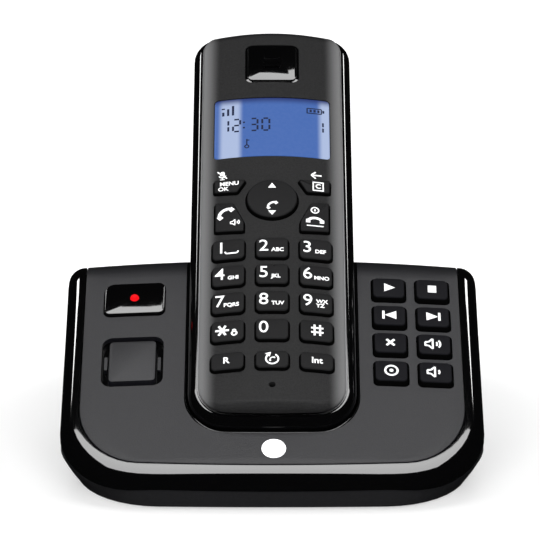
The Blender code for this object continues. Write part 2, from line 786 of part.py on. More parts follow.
def rim_edge(x, s):
    """Height of the rim's outer edge, which dips where it rounds the ridge."""
    run = RIM_DEEP_RUN if s < RIM_DEEPEST else RIDGE_END - RIM_DEEPEST
    share = min(abs(s - RIM_DEEPEST) / run, 1.0)
    return -RIM_DROP - RIM_RIDGE_DROP * math.cos(math.pi / 2 * share) ** 2


def under_rim(x, s):
    return rim_edge(x, s) - GAP


def channel_cutter(name, frame, side):
    """The straight-sided channel that the handset lies in, moved outwards by side."""
    bm = bmesh.new()
    outline = replace(HANDSET.grown(side), end=HAND_LENGTH * 2)
    rows = outline.rows((HAND_STATION,))
    add_layers(bm, [(rows, flat(LIFT_CLEAR)), (rows, flat(-CRADLE_BOTTOM - GAP))])
    return tool(name, bm, frame)


def above_plate(name, frame, surface):
    """All the room over a surface that follows the plate's profile."""
    bm = bmesh.new()
    wide = Outline(
        RIM.half_width + SKIRT_DEPTH, -RIM_REACH * 4, RIM_END, *((LEAST_CORNER,) * 2,) * 2
    )
    add_layers(
        bm, [(plate_rows(wide), flat(LIFT_CLEAR)), (plate_rows(wide), surface)], over_ridge
    )
    return tool(name, bm, frame)


def post_places():
    """(x, y) of the four screw posts of the base."""
    front, back = case_ends()
    for y in (front + POST_INSET_FRONT, back - POST_INSET_BACK):
        for x in (-POST_X, POST_X):
            yield (x, y)


def screw_places():
    """The two rear posts take a screw. The front ones only locate the case."""
    return list(post_places())[2:]


def case_ends():
    """y of the bottom case's front and back walls."""
    front = slope_point(-RIM_REACH, -RIM_DROP)[0] + GAP
    back = slope_point(RIM_END, -RIM_DROP)[0] - GAP * 2
    return front, back


def case_outline():
    cosine = math.cos(PLATE_SLOPE)
    front, back = case_ends()
    return Outline(
        RIM.half_width - GAP,
        front,
        back,
        (RIM_CORNER[0], RIM_CORNER[1] * cosine),
        (CASE_BACK_CORNER, CASE_BACK_CORNER),
        (RIM_BOW * cosine, 0.0),
    )


def make_top_case(plate, root, handset):
    bm = bmesh.new()
    add_layers(bm, slab_levels(), over_ridge)
    case = make("base_top_case", bm, LOOKS["gloss"], plate)

    bm = bmesh.new()
    inner = RIM.grown(-SKIRT_INSET - SKIRT_WALL, -SKIRT_END_INSET - SKIRT_WALL)
    levels = [
        (plate_rows(inner), over(plate_crown, -DECK_UNDERSIDE)),
        (plate_rows(inner), flat(-SKIRT_DEPTH - OVERRUN)),
    ]
    add_layers(bm, levels, over_ridge)
    change(case, tool("top_case_cavity", bm, plate))

    bm = bmesh.new()
    for place in post_places():
        add_turned(bm, place, [(POST_RADIUS, post_top(place[1])), (POST_RADIUS, post_foot())])
    change(case, tool("top_case_posts", bm, root), "UNION")

    bm = bmesh.new()
    recess = PLATE.grown(GAP)
    levels = [
        (plate_rows(recess), flat(RECESS_REACH)),
        (plate_rows(recess), over(plate_crown, -DECK_TOP)),
    ]
    add_layers(bm, levels, over_ridge)
    change(case, tool("plate_recess", bm, plate))

    bm = bmesh.new()
    for _, centre in base_keys():
        hole = rounded(centre, BASE_KEY_SIZE, BASE_KEY_CORNER)
        key_holes(bm, [hole], -DECK_UNDERSIDE - OVERRUN * 2, OVERRUN)
    page = rounded(PAGE_KEY_PLACE, PAGE_KEY_SIZE, PAGE_KEY_CORNER)
    key_holes(bm, [page], -DECK_UNDERSIDE - OVERRUN * 2, OVERRUN)
    lamp = circle(LAMP_PLACE, LAMP_RADIUS, ROUND_SEGMENTS)
    key_holes(bm, [lamp], -DECK_UNDERSIDE - OVERRUN * 2, OVERRUN)
    change(case, tool("deck_holes", bm, plate))
    change(case, channel_cutter("case_channel", handset, CRADLE_OUTSIDE + GAP))

    bm = bmesh.new()
    for place in screw_places():
        pilot = SCREW_SHANK_RADIUS + GAP
        top = CASE_BASE + SCREW_LENGTH + GAP + SCREW_HEAD_HEIGHT
        add_turned(bm, place, [(pilot, top + OVERRUN), (pilot, 0.0)], SMALL_SEGMENTS)
    change(case, tool("post_pilots", bm, root))


def post_foot():
    return CASE_FLOOR_TOP + GAP


def post_top(y):
    """A height over the deck and under the top of the plate recess at this y."""
    stations = [RIM_END * step / 200 for step in range(200)]
    nearest = min(stations, key=lambda s: abs(slope_point(s, -DECK_TOP)[0] - y))
    return slope_point(nearest, -DECK_TOP)[1] + POST_RADIUS


def make_top_plate(plate, handset):
    bm = bmesh.new()
    levels = [
        (plate_rows(PLATE.grown(-GAP)), over(plate_crown, 0.0)),
        (plate_rows(PLATE), over(plate_crown, -GAP)),
        (plate_rows(PLATE), over(plate_crown, -PLATE_THICKNESS)),
    ]
    add_layers(bm, levels, over_ridge)
    top = make("base_top_plate", bm, LOOKS["charcoal"], plate)
    bm = bmesh.new()
    low, high = -PLATE_THICKNESS - OVERRUN * 2, OVERRUN
    key_holes(bm, [rounded(c, BASE_KEY_SIZE, BASE_KEY_CORNER) for _, c in base_keys()], low, high)
    groove = rounded(PAGE_KEY_PLACE, PAGE_GROOVE, PAGE_KEY_CORNER + GAP * 5)
    key_holes(bm, [groove, window_outline()], low, high)
    change(top, tool("plate_holes", bm, plate))
    change(top, channel_cutter("plate_channel", handset, CRADLE_OUTSIDE + GAP))


def window_outline():
    return rounded(WINDOW_PLACE, WINDOW_SIZE, WINDOW_CORNERS)


def make_message_window(plate):
    outline = window_outline()
    bm = bmesh.new()
    rings = [
        (offset(outline, -KEY_SOFTENING * 2), over(plate_crown, WINDOW_RISE)),
        (offset(outline, -GAP), over(plate_crown, WINDOW_RISE - KEY_SOFTENING)),
        (outline, over(plate_crown, 0.0)),
        (outline, over(plate_crown, -PLATE_THICKNESS)),
    ]
    add_stack(bm, rings)
    window = make("message_window", bm, LOOKS["gloss"], plate)
    bm = bmesh.new()
    key_holes(bm, [circle(LAMP_PLACE, LAMP_RADIUS)], -DECK_TOP - OVERRUN, OVERRUN)
    change(window, tool("lamp_hole", bm, plate))

    bm = bmesh.new()
    crown = plate_crown(LAMP_PLACE[0])
    top = crown + WINDOW_RISE
    foot = -KEY_BOARD_DEPTH + GAP
    flange = LAMP_RADIUS + KEY_FLANGE
    profile = [
        (LAMP_RADIUS - GAP, top),
        (LAMP_RADIUS, top - KEY_SOFTENING),
        (LAMP_RADIUS, foot + KEY_FLANGE_HEIGHT),
        (flange, foot + KEY_FLANGE_HEIGHT),
        (flange, foot),
    ]
    add_turned(bm, LAMP_PLACE, profile)
    make("message_lamp", bm, LOOKS["lamp"], plate)


def make_base_keys(plate):
    hold = -DECK_UNDERSIDE - GAP
    for name, centre in base_keys():
        body = rounded(centre, BASE_KEY_SIZE, BASE_KEY_CORNER)
        top = rounded(centre, BASE_KEY_TOP, BASE_KEY_CORNER)
        rings = [
            (offset(top, -KEY_SOFTENING), over(plate_crown, BASE_KEY_RISE)),
            (top, over(plate_crown, BASE_KEY_RISE - KEY_SOFTENING)),
            (body, over(plate_crown, 0.0)),
            (body, over(plate_crown, hold)),
            (offset(body, KEY_FLANGE), over(plate_crown, hold)),
            (offset(body, KEY_FLANGE), over(plate_crown, hold - KEY_FLANGE_HEIGHT)),
        ]
        press_key(name, centre, rings, plate)
    body = rounded(PAGE_KEY_PLACE, PAGE_KEY_SIZE, PAGE_KEY_CORNER)
    rings = [
        (offset(body, -KEY_SOFTENING), over(plate_crown, PAGE_KEY_RISE)),
        (body, over(plate_crown, PAGE_KEY_RISE - KEY_SOFTENING)),
        (body, over(plate_crown, hold)),
        (offset(body, KEY_FLANGE), over(plate_crown, hold)),
        (offset(body, KEY_FLANGE), over(plate_crown, hold - KEY_FLANGE_HEIGHT)),
    ]
    press_key("page_key", PAGE_KEY_PLACE, rings, plate)


def make_key_board(plate):
    bm = bmesh.new()
    top = -KEY_BOARD_DEPTH
    near, far = KEY_BOARD_BRIDGE
    inner, outer, leg = KEY_BOARD_INNER, KEY_BOARD_OUTER, KEY_BOARD_LEG
    right = [
        (leg, near), (leg, KEY_BOARD_FROM), (outer, KEY_BOARD_FROM), (outer, KEY_BOARD_TO),
        (inner, KEY_BOARD_TO), (inner, far),
    ]
    add_prism(bm, right + swapped(right), top - BOARD_THICKNESS, top)
    make("base_key_board", bm, LOOKS["board"], plate)

    bm = bmesh.new()
    add_box(
        bm,
        (inner, outer),
        (KEY_BOARD_FROM, KEY_BOARD_TO),
        (top + GAP, top + GAP + BASE_MAT_THICKNESS),
    )
    make("base_keypad_mat", bm, LOOKS["rubber"], plate)


def case_levels(outline, base, inset=0.0):
    """Levels of the bottom case from the top down, with its tucked-in foot."""
    high = slope_point(RIDGE_START, RIDGE_RADIUS)[1]
    side, ends = CASE_FOOT_INSET
    foot = replace(outline.grown(-side, -ends), front=CASE_FOOT_CORNER)
    levels = [(outline.grown(-inset).rows(), flat(high))]
    for height_share, inset_share in reversed(CASE_TAPER_SHARES):
        rows = outline.blended(foot, inset_share).grown(-inset).rows()
        levels.append((rows, flat(base + (CASE_TAPER_HEIGHT - base) * height_share)))
    return levels


def make_bottom_case(plate, root):
    outline = case_outline()
    front, back = case_ends()
    bm = bmesh.new()
    add_layers(bm, case_levels(outline, CASE_BASE))
    case = make("base_bottom_case", bm, LOOKS["satin_black"], root)

    bm = bmesh.new()
    inner = case_levels(outline, CASE_FLOOR_TOP, CASE_WALL)
    high = slope_point(RIDGE_START, RIDGE_RADIUS)[1] + OVERRUN
    add_layers(bm, [(inner[0][0], flat(high))] + inner[1:])
    change(case, tool("bottom_case_cavity", bm, root))
    change(case, above_plate("bottom_case_slope", plate, under_rim))

    bm = bmesh.new()
    half = RIM.half_width - SKIRT_INSET + GAP * 1.5
    rim_foot = slope_point(RIM_END, 0.0)[1]
    sill = rim_foot - GAP
    reach = back - CASE_WALL - SKIRT_DEPTH
    add_box(bm, (-half, half), (reach, back + OVERRUN), (sill, sill + LIFT_CLEAR))
    change(case, tool("back_notch", bm, root))

    bm = bmesh.new()
    for x, width, height in (
        (LINE_SOCKET_X, LINE_SOCKET_SIZE[0], LINE_SOCKET_SIZE[2]),
        (POWER_SOCKET_X, POWER_SOCKET_SIZE[0], POWER_SOCKET_SIZE[2]),
    ):
        half = width / 2 + GAP
        low = main_board_top()
        add_box(
            bm,
            (x - half, x + half),
            (back - CASE_WALL - OVERRUN, back + OVERRUN),
            (low, low + height + GAP * 2),
        )
    for place in screw_places():
        bore = SCREW_SHANK_RADIUS + GAP
        seat = CASE_BASE + COUNTERBORE_DEPTH
        sink = SCREW_HEAD_RADIUS + GAP
        high = CASE_FLOOR_TOP + OVERRUN
        profile = [(bore, high), (bore, seat), (sink, seat), (sink, 0.0)]
        add_turned(bm, place, profile)
    for _, outline in foot_outlines():
        add_prism(bm, offset(outline, GAP), 0.0, CASE_BASE + FOOT_POCKET)
    for slot in range(GRILLE_SLOTS):
        x, y = SPEAKER_PLACE
        shift = (slot - (GRILLE_SLOTS - 1) / 2) * GRILLE_PITCH
        outline = rounded((x, front + y + shift), GRILLE_SLOT, GRILLE_SLOT[1] / 2)
        add_prism(bm, outline, 0.0, CASE_FLOOR_TOP + OVERRUN)
    change(case, tool("bottom_case_openings", bm, root))

    bm = bmesh.new()
    for place in standoff_places():
        top = main_board_top() - BOARD_THICKNESS - GAP
        add_turned(bm, place, [(STANDOFF_RADIUS, top), (STANDOFF_RADIUS, CASE_FLOOR_TOP - GAP)])
    change(case, tool("board_standoffs", bm, root), "UNION")


def main_board_top():
    return CASE_FLOOR_TOP + MAIN_BOARD_LIFT + BOARD_THICKNESS


def main_board_y():
    """(front, back) of the main board."""
    _, back = case_ends()
    far = back - CASE_WALL - MAIN_BOARD_INSET
    return far - MAIN_BOARD_DEPTH, far


def standoff_places():
    for x in (MAIN_BOARD_X[0] + STANDOFF_INSET, MAIN_BOARD_X[1] - STANDOFF_INSET):
        near, far = main_board_y()
        for y in (near + STANDOFF_INSET, far - STANDOFF_INSET):
            yield (x, y)


def foot_outlines():
    front, back = case_ends()
    places = (("front_foot", front + FOOT_INSET_FRONT), ("rear_foot", back - FOOT_INSET_BACK))
    for name, y in places:
        yield name, rounded((0.0, y), FOOT_SIZE, FOOT_SIZE[1] / 2 - GAP)


def make_feet(root):
    for name, outline in foot_outlines():
        top = CASE_BASE + FOOT_POCKET - GAP
        bm = bmesh.new()
        rings = [(outline, flat(top)), (outline, flat(GAP)), (offset(outline, -GAP), flat(0.0))]
        add_stack(bm, rings)
        make(name, bm, LOOKS["rubber"], root)


def make_base_screws(root):
    for place, side in zip(screw_places(), ("left", "right")):
        bm = bmesh.new()
        seat = CASE_BASE + COUNTERBORE_DEPTH - GAP
        top = seat + SCREW_LENGTH - SCREW_HEAD_HEIGHT
        profile = [
            (SCREW_SHANK_RADIUS, top),
            (SCREW_SHANK_RADIUS, seat),
            (SCREW_HEAD_RADIUS, seat),
            (SCREW_HEAD_RADIUS, seat - SCREW_HEAD_HEIGHT),
        ]
        add_turned(bm, place, profile, SMALL_SEGMENTS)
        make(f"{side}_base_screw", bm, LOOKS["steel"], root)


def make_loudspeaker(root):
    front, _ = case_ends()
    centre = (SPEAKER_PLACE[0], front + SPEAKER_PLACE[1])
    foot = CASE_FLOOR_TOP + GAP
    cone = (SPEAKER_RADIUS + SPEAKER_MAGNET_RADIUS) / 2
    profile = [
        (SPEAKER_MAGNET_RADIUS, foot + SPEAKER_HEIGHT),
        (SPEAKER_MAGNET_RADIUS, foot + SPEAKER_HEIGHT / 2),
        (cone, foot + SPEAKER_RIM * 2),
        (SPEAKER_RADIUS, foot + SPEAKER_RIM),
        (SPEAKER_RADIUS, foot),
    ]
    bm = bmesh.new()
    add_turned(bm, centre, profile, NAV_SEGMENTS)
    make("base_loudspeaker", bm, LOOKS["steel"], root)


def make_main_board(root):
    top = main_board_top()
    near, far = main_board_y()
    bm = bmesh.new()
    add_box(bm, MAIN_BOARD_X, (near, far), (top - BOARD_THICKNESS, top))
    board = make("base_main_board", bm, LOOKS["board"], root)
    bm = bmesh.new()
    width, depth, height = SHIELD_SIZE
    left = MAIN_BOARD_X[0] + STANDOFF_INSET
    shield = (near + STANDOFF_INSET, near + STANDOFF_INSET + depth)
    add_box(bm, (left, left + width), shield, (top - GAP, top + height))
    change(board, tool("radio_shield", bm, root), "UNION")
    add_power_socket(board, root)


def make_line_socket(root):
    _, back = case_ends()
    width, depth, height = LINE_SOCKET_SIZE
    low = main_board_top() + GAP
    middle = low + height / 2
    bm = bmesh.new()
    sides = (LINE_SOCKET_X - width / 2, LINE_SOCKET_X + width / 2)
    add_box(bm, sides, (back - depth, back), (low, low + height))
    socket = make("line_socket", bm, LOOKS["satin_black"], root)
    bm = bmesh.new()
    half = LINE_BORE[0] / 2
    add_box(
        bm,
        (LINE_SOCKET_X - half, LINE_SOCKET_X + half),
        (back - LINE_BORE_DEPTH, back + OVERRUN),
        (middle - LINE_BORE[1] / 2, middle + LINE_BORE[1] / 2),
    )
    change(socket, tool("line_bore", bm, root))
    bm = bmesh.new()
    half = LINE_KEYWAY[0] / 2
    floor = middle - LINE_BORE[1] / 2
    add_box(
        bm,
        (LINE_SOCKET_X - half, LINE_SOCKET_X + half),
        (back - LINE_BORE_DEPTH + OVERRUN, back + OVERRUN * 2),
        (floor - LINE_KEYWAY[1], floor + GAP),
    )
    change(socket, tool("line_keyway", bm, root))


def add_power_socket(board, root):
    """The power socket is soldered to the main board, so it is one piece with it."""
    _, back = case_ends()
    width, depth, height = POWER_SOCKET_SIZE
    low = main_board_top()
    centre = (POWER_SOCKET_X, low + height / 2)
    bm = bmesh.new()
    sides = (POWER_SOCKET_X - width / 2, POWER_SOCKET_X + width / 2)
    add_box(bm, sides, (back - depth, back), (low + GAP, low + height))
    change(board, tool("power_socket", bm, root), "UNION")
    bm = bmesh.new()
    foot = (back - depth + GAP, back - CASE_WALL - MAIN_BOARD_INSET - GAP)
    add_box(bm, (sides[0] + GAP, sides[1] - GAP), foot, (low - GAP, low + GAP * 2))
    change(board, tool("power_socket_foot", bm, root), "UNION")
    bm = bmesh.new()
    bore = [(POWER_BORE_RADIUS, back + OVERRUN), (POWER_BORE_RADIUS, back - POWER_BORE_DEPTH)]
    add_turned(bm, centre, bore, ROUND_SEGMENTS, along_y)
    change(board, tool("power_bore", bm, root))
    bm = bmesh.new()
    tip = back - OVERRUN
    pin_root = back - POWER_BORE_DEPTH - GAP
    pin = [(POWER_PIN_RADIUS, tip), (POWER_PIN_RADIUS, pin_root)]
    add_turned(bm, centre, pin, SMALL_SEGMENTS, along_y)
    change(board, tool("power_pin", bm, root), "UNION")


def make_cradle(plate, handset):
    outline = replace(HANDSET.grown(CRADLE_OUTSIDE), end=HAND_STATION + CRADLE_REACH)
    outline = replace(outline, back=(LEAST_CORNER, LEAST_CORNER), bow=(HAND_FOOT_BOW, 0.0))
    rows = outline.rows((HAND_STATION / 2,))
    bm = bmesh.new()
    add_layers(bm, [(rows, flat(RIM_DROP)), (rows, flat(-CRADLE_BOTTOM))])
    cradle = make("handset_cradle", bm, LOOKS["gloss"], handset)

    bm = bmesh.new()
    half = CRADLE_HALF_WIDTH + CRADLE_FLANGE
    top = -DECK_UNDERSIDE - GAP + plate_crown(half)
    add_box(
        bm,
        (-half, half),
        (CRADLE_FLANGE_FROM, CRADLE_FLANGE_TO),
        (top - CRADLE_FLANGE_THICKNESS, top),
    )
    change(cradle, tool("cradle_flange", bm, plate), "UNION")
    change(cradle, above_plate("cradle_top", plate, over(plate_crown, 0.0)))

    bm = bmesh.new()
    levels = rear_levels(CRADLE_PLAY)
    add_layers(bm, [(levels[0][0], flat(LIFT_CLEAR))] + levels)
    change(cradle, tool("cradle_hollow", bm, handset))

    bm = bmesh.new()
    for x in (-CONTACT_X, CONTACT_X):
        bore = PIN_RADIUS + GAP
        profile = [(bore, -REAR_DEPTH + OVERRUN), (bore, -CRADLE_BOTTOM - OVERRUN)]
        add_turned(bm, (x, CONTACT_PLACE), profile)
    change(cradle, tool("pin_holes", bm, handset))


def make_charge_pins(handset):
    tip = -REAR_DEPTH + CONTACT_RECESS - GAP
    seat = -CRADLE_BOTTOM - GAP
    bm = bmesh.new()
    size = (2 * CONTACT_X + 2 * PIN_CARRIER_MARGIN, 2 * PIN_CARRIER_MARGIN)
    carrier = rounded((0.0, CONTACT_PLACE), size, LEAST_CORNER)
    add_prism(bm, carrier, seat - PIN_CARRIER_HEIGHT, seat)
    block = make("charge_pin_block", bm, LOOKS["gold"], handset)
    bm = bmesh.new()
    profile = [
        (PIN_RADIUS - GAP, tip),
        (PIN_RADIUS, tip - GAP),
        (PIN_RADIUS, seat - PIN_CARRIER_HEIGHT / 2),
    ]
    for x in (-CONTACT_X, CONTACT_X):
        add_turned(bm, (x, CONTACT_PLACE), profile)
    change(block, tool("charge_pins", bm, handset), "UNION")


def make_front_shell(handset):
    bm = bmesh.new()
    levels = []
    for inset, height in FACE_ROUND_SHARES:
        side = FACE_SIDE_INSET + FACE_ROUND_SIDE * inset
        ends = FACE_END_INSET + FACE_ROUND_END * inset
        levels.append((hand_rows(side, ends), face_share(height)))
    edge = hand_rows(FACE_SIDE_INSET, FACE_END_INSET)
    lip = hand_rows(FACE_SIDE_INSET + LIP_INSET, FACE_END_INSET + LIP_INSET)
    levels += [(edge, flat(FACE_SEAM)), (lip, flat(FACE_SEAM)), (lip, flat(HAND_LIP_BOTTOM))]
    add_layers(bm, levels)
    shell = make("handset_front_shell", bm, LOOKS["charcoal"], handset)

    bm = bmesh.new()
    side = FACE_SIDE_INSET + LIP_INSET + FACE_WALL
    ends = FACE_END_INSET + LIP_INSET + FACE_WALL
    levels = [
        (hand_rows(side, ends + FACE_ROUND_END / 2), over(face, -FACE_WALL)),
        (hand_rows(side, ends), over(face, -FACE_WALL * 1.5)),
        (hand_rows(side, ends), flat(HAND_LIP_BOTTOM - OVERRUN)),
    ]
    add_layers(bm, levels)
    change(shell, tool("front_shell_cavity", bm, handset))

    high = FACE_TOP + OVERRUN
    bm = bmesh.new()
    rows = display_outline().grown(GAP).rows()
    add_layers(bm, [(rows, flat(high)), (rows, over(face, -DISPLAY_THICKNESS - GAP))])
    add_prism(bm, rounded((0.0, EAR_PLACE), EAR_RECESS, EAR_CORNER), ear_floor(), high)
    change(shell, tool("face_recesses", bm, handset))

    bm = bmesh.new()
    low = HAND_LIP_BOTTOM
    key_holes(bm, [outline for _, _, outline in face_keys()], low, high)
    key_holes(bm, [circle((0.0, NAV_PLACE), NAV_RADIUS, NAV_SEGMENTS)], low, high, NAV_PLAY)
    key_holes(bm, [circle((0.0, MIC_PLACE), MIC_HOLE_RADIUS)], low, high, 0.0)
    key_holes(bm, [circle((0.0, EAR_PLACE), EAR_HOLE_RADIUS)], low, high, 0.0)
    module = rounded(
        (0.0, (DISPLAY_FROM + DISPLAY_TO) / 2),
        (2 * (DISPLAY_HALF_WIDTH - DISPLAY_LEDGE), DISPLAY_TO - DISPLAY_FROM - 2 * DISPLAY_LEDGE),
        DISPLAY_CORNER,
    )
    key_holes(bm, [module], low, high, 0.0)
    change(shell, tool("face_holes", bm, handset))

    bm = bmesh.new()
    for place in both_sides(HAND_SCREW_PLACE) + both_sides(HAND_PEG_PLACE):
        top = face(abs(place[0]) + HAND_BOSS_RADIUS) - FACE_WALL / 2
        profile = [(HAND_BOSS_RADIUS, top), (HAND_BOSS_RADIUS, HAND_LIP_BOTTOM + GAP)]
        add_turned(bm, place, profile)
    change(shell, tool("screw_bosses", bm, handset), "UNION")
    bm = bmesh.new()
    for place in both_sides(HAND_SCREW_PLACE):
        bore = HAND_SCREW_SHANK + GAP
        profile = [(bore, HAND_BOARD_TOP + HAND_SCREW_GRIP + GAP), (bore, 0.0)]
        add_turned(bm, place, profile, SMALL_SEGMENTS)
    change(shell, tool("boss_pilots", bm, handset))


def face_share(share):
    """The height this share of the way from the seam up to the crowned face."""
    return lambda x, s: FACE_SEAM + (face(x) - FACE_SEAM) * share


def display_outline():
    corner = (DISPLAY_CORNER, DISPLAY_CORNER)
    return Outline(DISPLAY_HALF_WIDTH, DISPLAY_FROM, DISPLAY_TO, corner, corner)


def ear_floor():
    """Height of the flat floor that the earpiece cover is set on."""
    return face(EAR_RECESS[0] / 2) - EAR_RECESS_DEPTH


def both_sides(place):
    return [(side * place[0], place[1]) for side in (-1, 1)]


def make_trim(handset):
    outer = SHOULDER_INSET + TRIM_PROUD
    inner = outer + TRIM_WIDTH
    ends = FACE_END_INSET - TRIM_PROUD
    bm = bmesh.new()
    add_band(
        bm,
        hand_rows(outer, ends),
        hand_rows(inner, ends + TRIM_WIDTH),
        SEAM_HEIGHT + TRIM_THICKNESS,
        SEAM_HEIGHT,
    )
    make("handset_trim_band", bm, LOOKS["trim"], handset)


def make_rear_shell(handset):
    bm = bmesh.new()
    rear_solid(bm)
    shell = make("handset_rear_shell", bm, LOOKS["gloss"], handset)

    bm = bmesh.new()
    mouth = SHOULDER_INSET + MOUTH_WALL
    levels = [(hand_rows(mouth, mouth), flat(SEAM_HEIGHT + OVERRUN))]
    levels.append((hand_rows(mouth, mouth), flat(REAR_MOUTH / 2)))
    for depth_share, inset_share in ((0.0, 0.0),) + REAR_CURVE_SHARES:
        side = REAR_WALL * 4 / 3 + (REAR_TAPER - REAR_WALL) * inset_share
        ends = REAR_WALL * 4 / 3 + (REAR_END_TAPER - REAR_WALL) * inset_share
        levels.append((rear_rows(side, ends), flat(-(REAR_DEPTH - REAR_WALL) * depth_share)))
    add_layers(bm, levels)
    change(shell, tool("rear_shell_cavity", bm, handset))

    bm = bmesh.new()
    half = DOOR_HALF_WIDTH + DOOR_SEAT_MARGIN
    near = DOOR_FROM - DOOR_SEAT_MARGIN * 2
    far = DOOR_TO + DOOR_SEAT_MARGIN
    floor = DOOR_SEAT - REAR_WALL
    add_box(bm, (-half, half), (near, far), (-REAR_DEPTH + REAR_WALL * 0.8, -floor))
    change(shell, tool("door_seat", bm, handset), "UNION")

    bm = bmesh.new()
    half = CELL_SPACING + CELL_RADIUS + GAP + TRAY_WALL
    add_box(bm, (-half, half), tray_span(TRAY_WALL), (-DOOR_SEAT - GAP, -TRAY_CEILING + TRAY_WALL))
    change(shell, tool("battery_tray", bm, handset), "UNION")

    bm = bmesh.new()
    for place in both_sides(HAND_SCREW_PLACE) + both_sides(HAND_PEG_PLACE):
        profile = [(HAND_POST_RADIUS, HAND_BOARD_UNDERSIDE - GAP), (HAND_POST_RADIUS, -HAND_POST_FOOT)]
        add_turned(bm, place, profile)
    change(shell, tool("rear_posts", bm, handset), "UNION")

    bm = bmesh.new()
    half = CELL_SPACING + CELL_RADIUS + GAP
    add_box(bm, (-half, half), tray_span(0.0), (-REAR_DEPTH - OVERRUN, -TRAY_CEILING))
    change(shell, tool("tray_pocket", bm, handset))

    bm = bmesh.new()
    half = DOOR_HALF_WIDTH + GAP
    add_box(
        bm,
        (-half, half),
        (DOOR_FROM - GAP, HAND_LENGTH + OVERRUN),
        (-REAR_DEPTH - OVERRUN * 2, -DOOR_SEAT),
    )
    change(shell, tool("door_recess", bm, handset))

    bm = bmesh.new()
    for place in both_sides(HAND_SCREW_PLACE):
        bore = HAND_SCREW_SHANK + GAP
        sink = HAND_SCREW_HEAD + GAP
        profile = [
            (bore, HAND_BOARD_TOP),
            (bore, -HAND_SCREW_SEAT),
            (sink, -HAND_SCREW_SEAT),
            (sink, -REAR_DEPTH - OVERRUN),
        ]
        add_turned(bm, place, profile)
    for x in (-CONTACT_X, CONTACT_X):
        size = tuple(value + 2 * GAP for value in CONTACT_SIZE)
        window = rounded((x, CONTACT_PLACE), size, LEAST_CORNER)
        add_prism(bm, window, -REAR_DEPTH - OVERRUN, -REAR_DEPTH + REAR_WALL + OVERRUN)
    for slot in range(GRILLE_SLOTS):
        shift = (slot - (GRILLE_SLOTS - 1) / 2) * SOUNDER_PITCH
        outline = rounded((0.0, SOUNDER_PLACE + shift), SOUNDER_SLOT, SOUNDER_SLOT[1] / 2)
        add_prism(bm, outline, -REAR_DEPTH - OVERRUN, -REAR_DEPTH + REAR_WALL + OVERRUN)
    change(shell, tool("rear_openings", bm, handset))


def tray_span(wall):
    """Near and far end of the battery tray, with or without its walls."""
    return CELL_FROM - GAP - wall, CELL_FROM + CELL_LENGTH + GAP + wall


def make_battery(handset):
    size = (2 * (CELL_SPACING + CELL_RADIUS), 2 * CELL_RADIUS)
    outline = rounded((0.0, -CELL_DEPTH), size, CELL_RADIUS - GAP, PACK_POINTS)
    far = CELL_FROM + CELL_LENGTH
    rings = [
        (offset(outline, -GAP), flat(far)),
        (outline, flat(far - GAP)),
        (outline, flat(CELL_FROM + GAP)),
        (offset(outline, -GAP), flat(CELL_FROM)),
    ]
    bm = bmesh.new()
    add_stack(bm, rings, along_y)
    make("battery_pack", bm, LOOKS["cell"], handset)

    bm = bmesh.new()
    rear_solid(bm)
    door = make("battery_door", bm, LOOKS["gloss"], handset)
    bm = bmesh.new()
    half = DOOR_HALF_WIDTH
    deep = -REAR_DEPTH - OVERRUN
    add_box(bm, (-half, half), (DOOR_FROM, DOOR_TO), (deep, -REAR_DEPTH + DOOR_THICKNESS))
    change(door, tool("door_blank", bm, handset), "INTERSECT")


def make_face_keys(handset):
    for name, centre, outline in face_keys():
        skirt = offset(outline, KEY_FLANGE)
        rings = [
            (offset(outline, -KEY_SOFTENING), over(face, FACE_KEY_RISE)),
            (outline, over(face, FACE_KEY_RISE - KEY_SOFTENING)),
            (outline, over(face, -FACE_KEY_HOLD)),
            (skirt, over(face, -FACE_KEY_HOLD)),
            (skirt, over(face, -FACE_KEY_BOTTOM)),
        ]
        press_key(name, centre, rings, handset)

    hold = FACE_TOP - FACE_WALL - NAV_HOLD_GAP
    bottom = hold - KEY_FLANGE_HEIGHT
    centre = (0.0, NAV_PLACE)
    profile = [
        (NAV_RADIUS - KEY_SOFTENING * 3, FACE_TOP + FACE_KEY_RISE),
        (NAV_RADIUS, FACE_TOP + FACE_KEY_RISE - KEY_SOFTENING),
        (NAV_RADIUS, hold),
        (NAV_RADIUS + NAV_PLAY * 2, hold),
        (NAV_RADIUS + NAV_PLAY * 2, bottom),
        (NAV_STEM_RADIUS, bottom),
        (NAV_STEM_RADIUS, face(NAV_STEM_RADIUS) - HAND_MAT_DROP + GAP),
    ]
    bm = bmesh.new()
    add_turned(bm, centre, profile, NAV_SEGMENTS)
    make("navigation_key", bm, LOOKS["key"], handset, (*centre, hold))


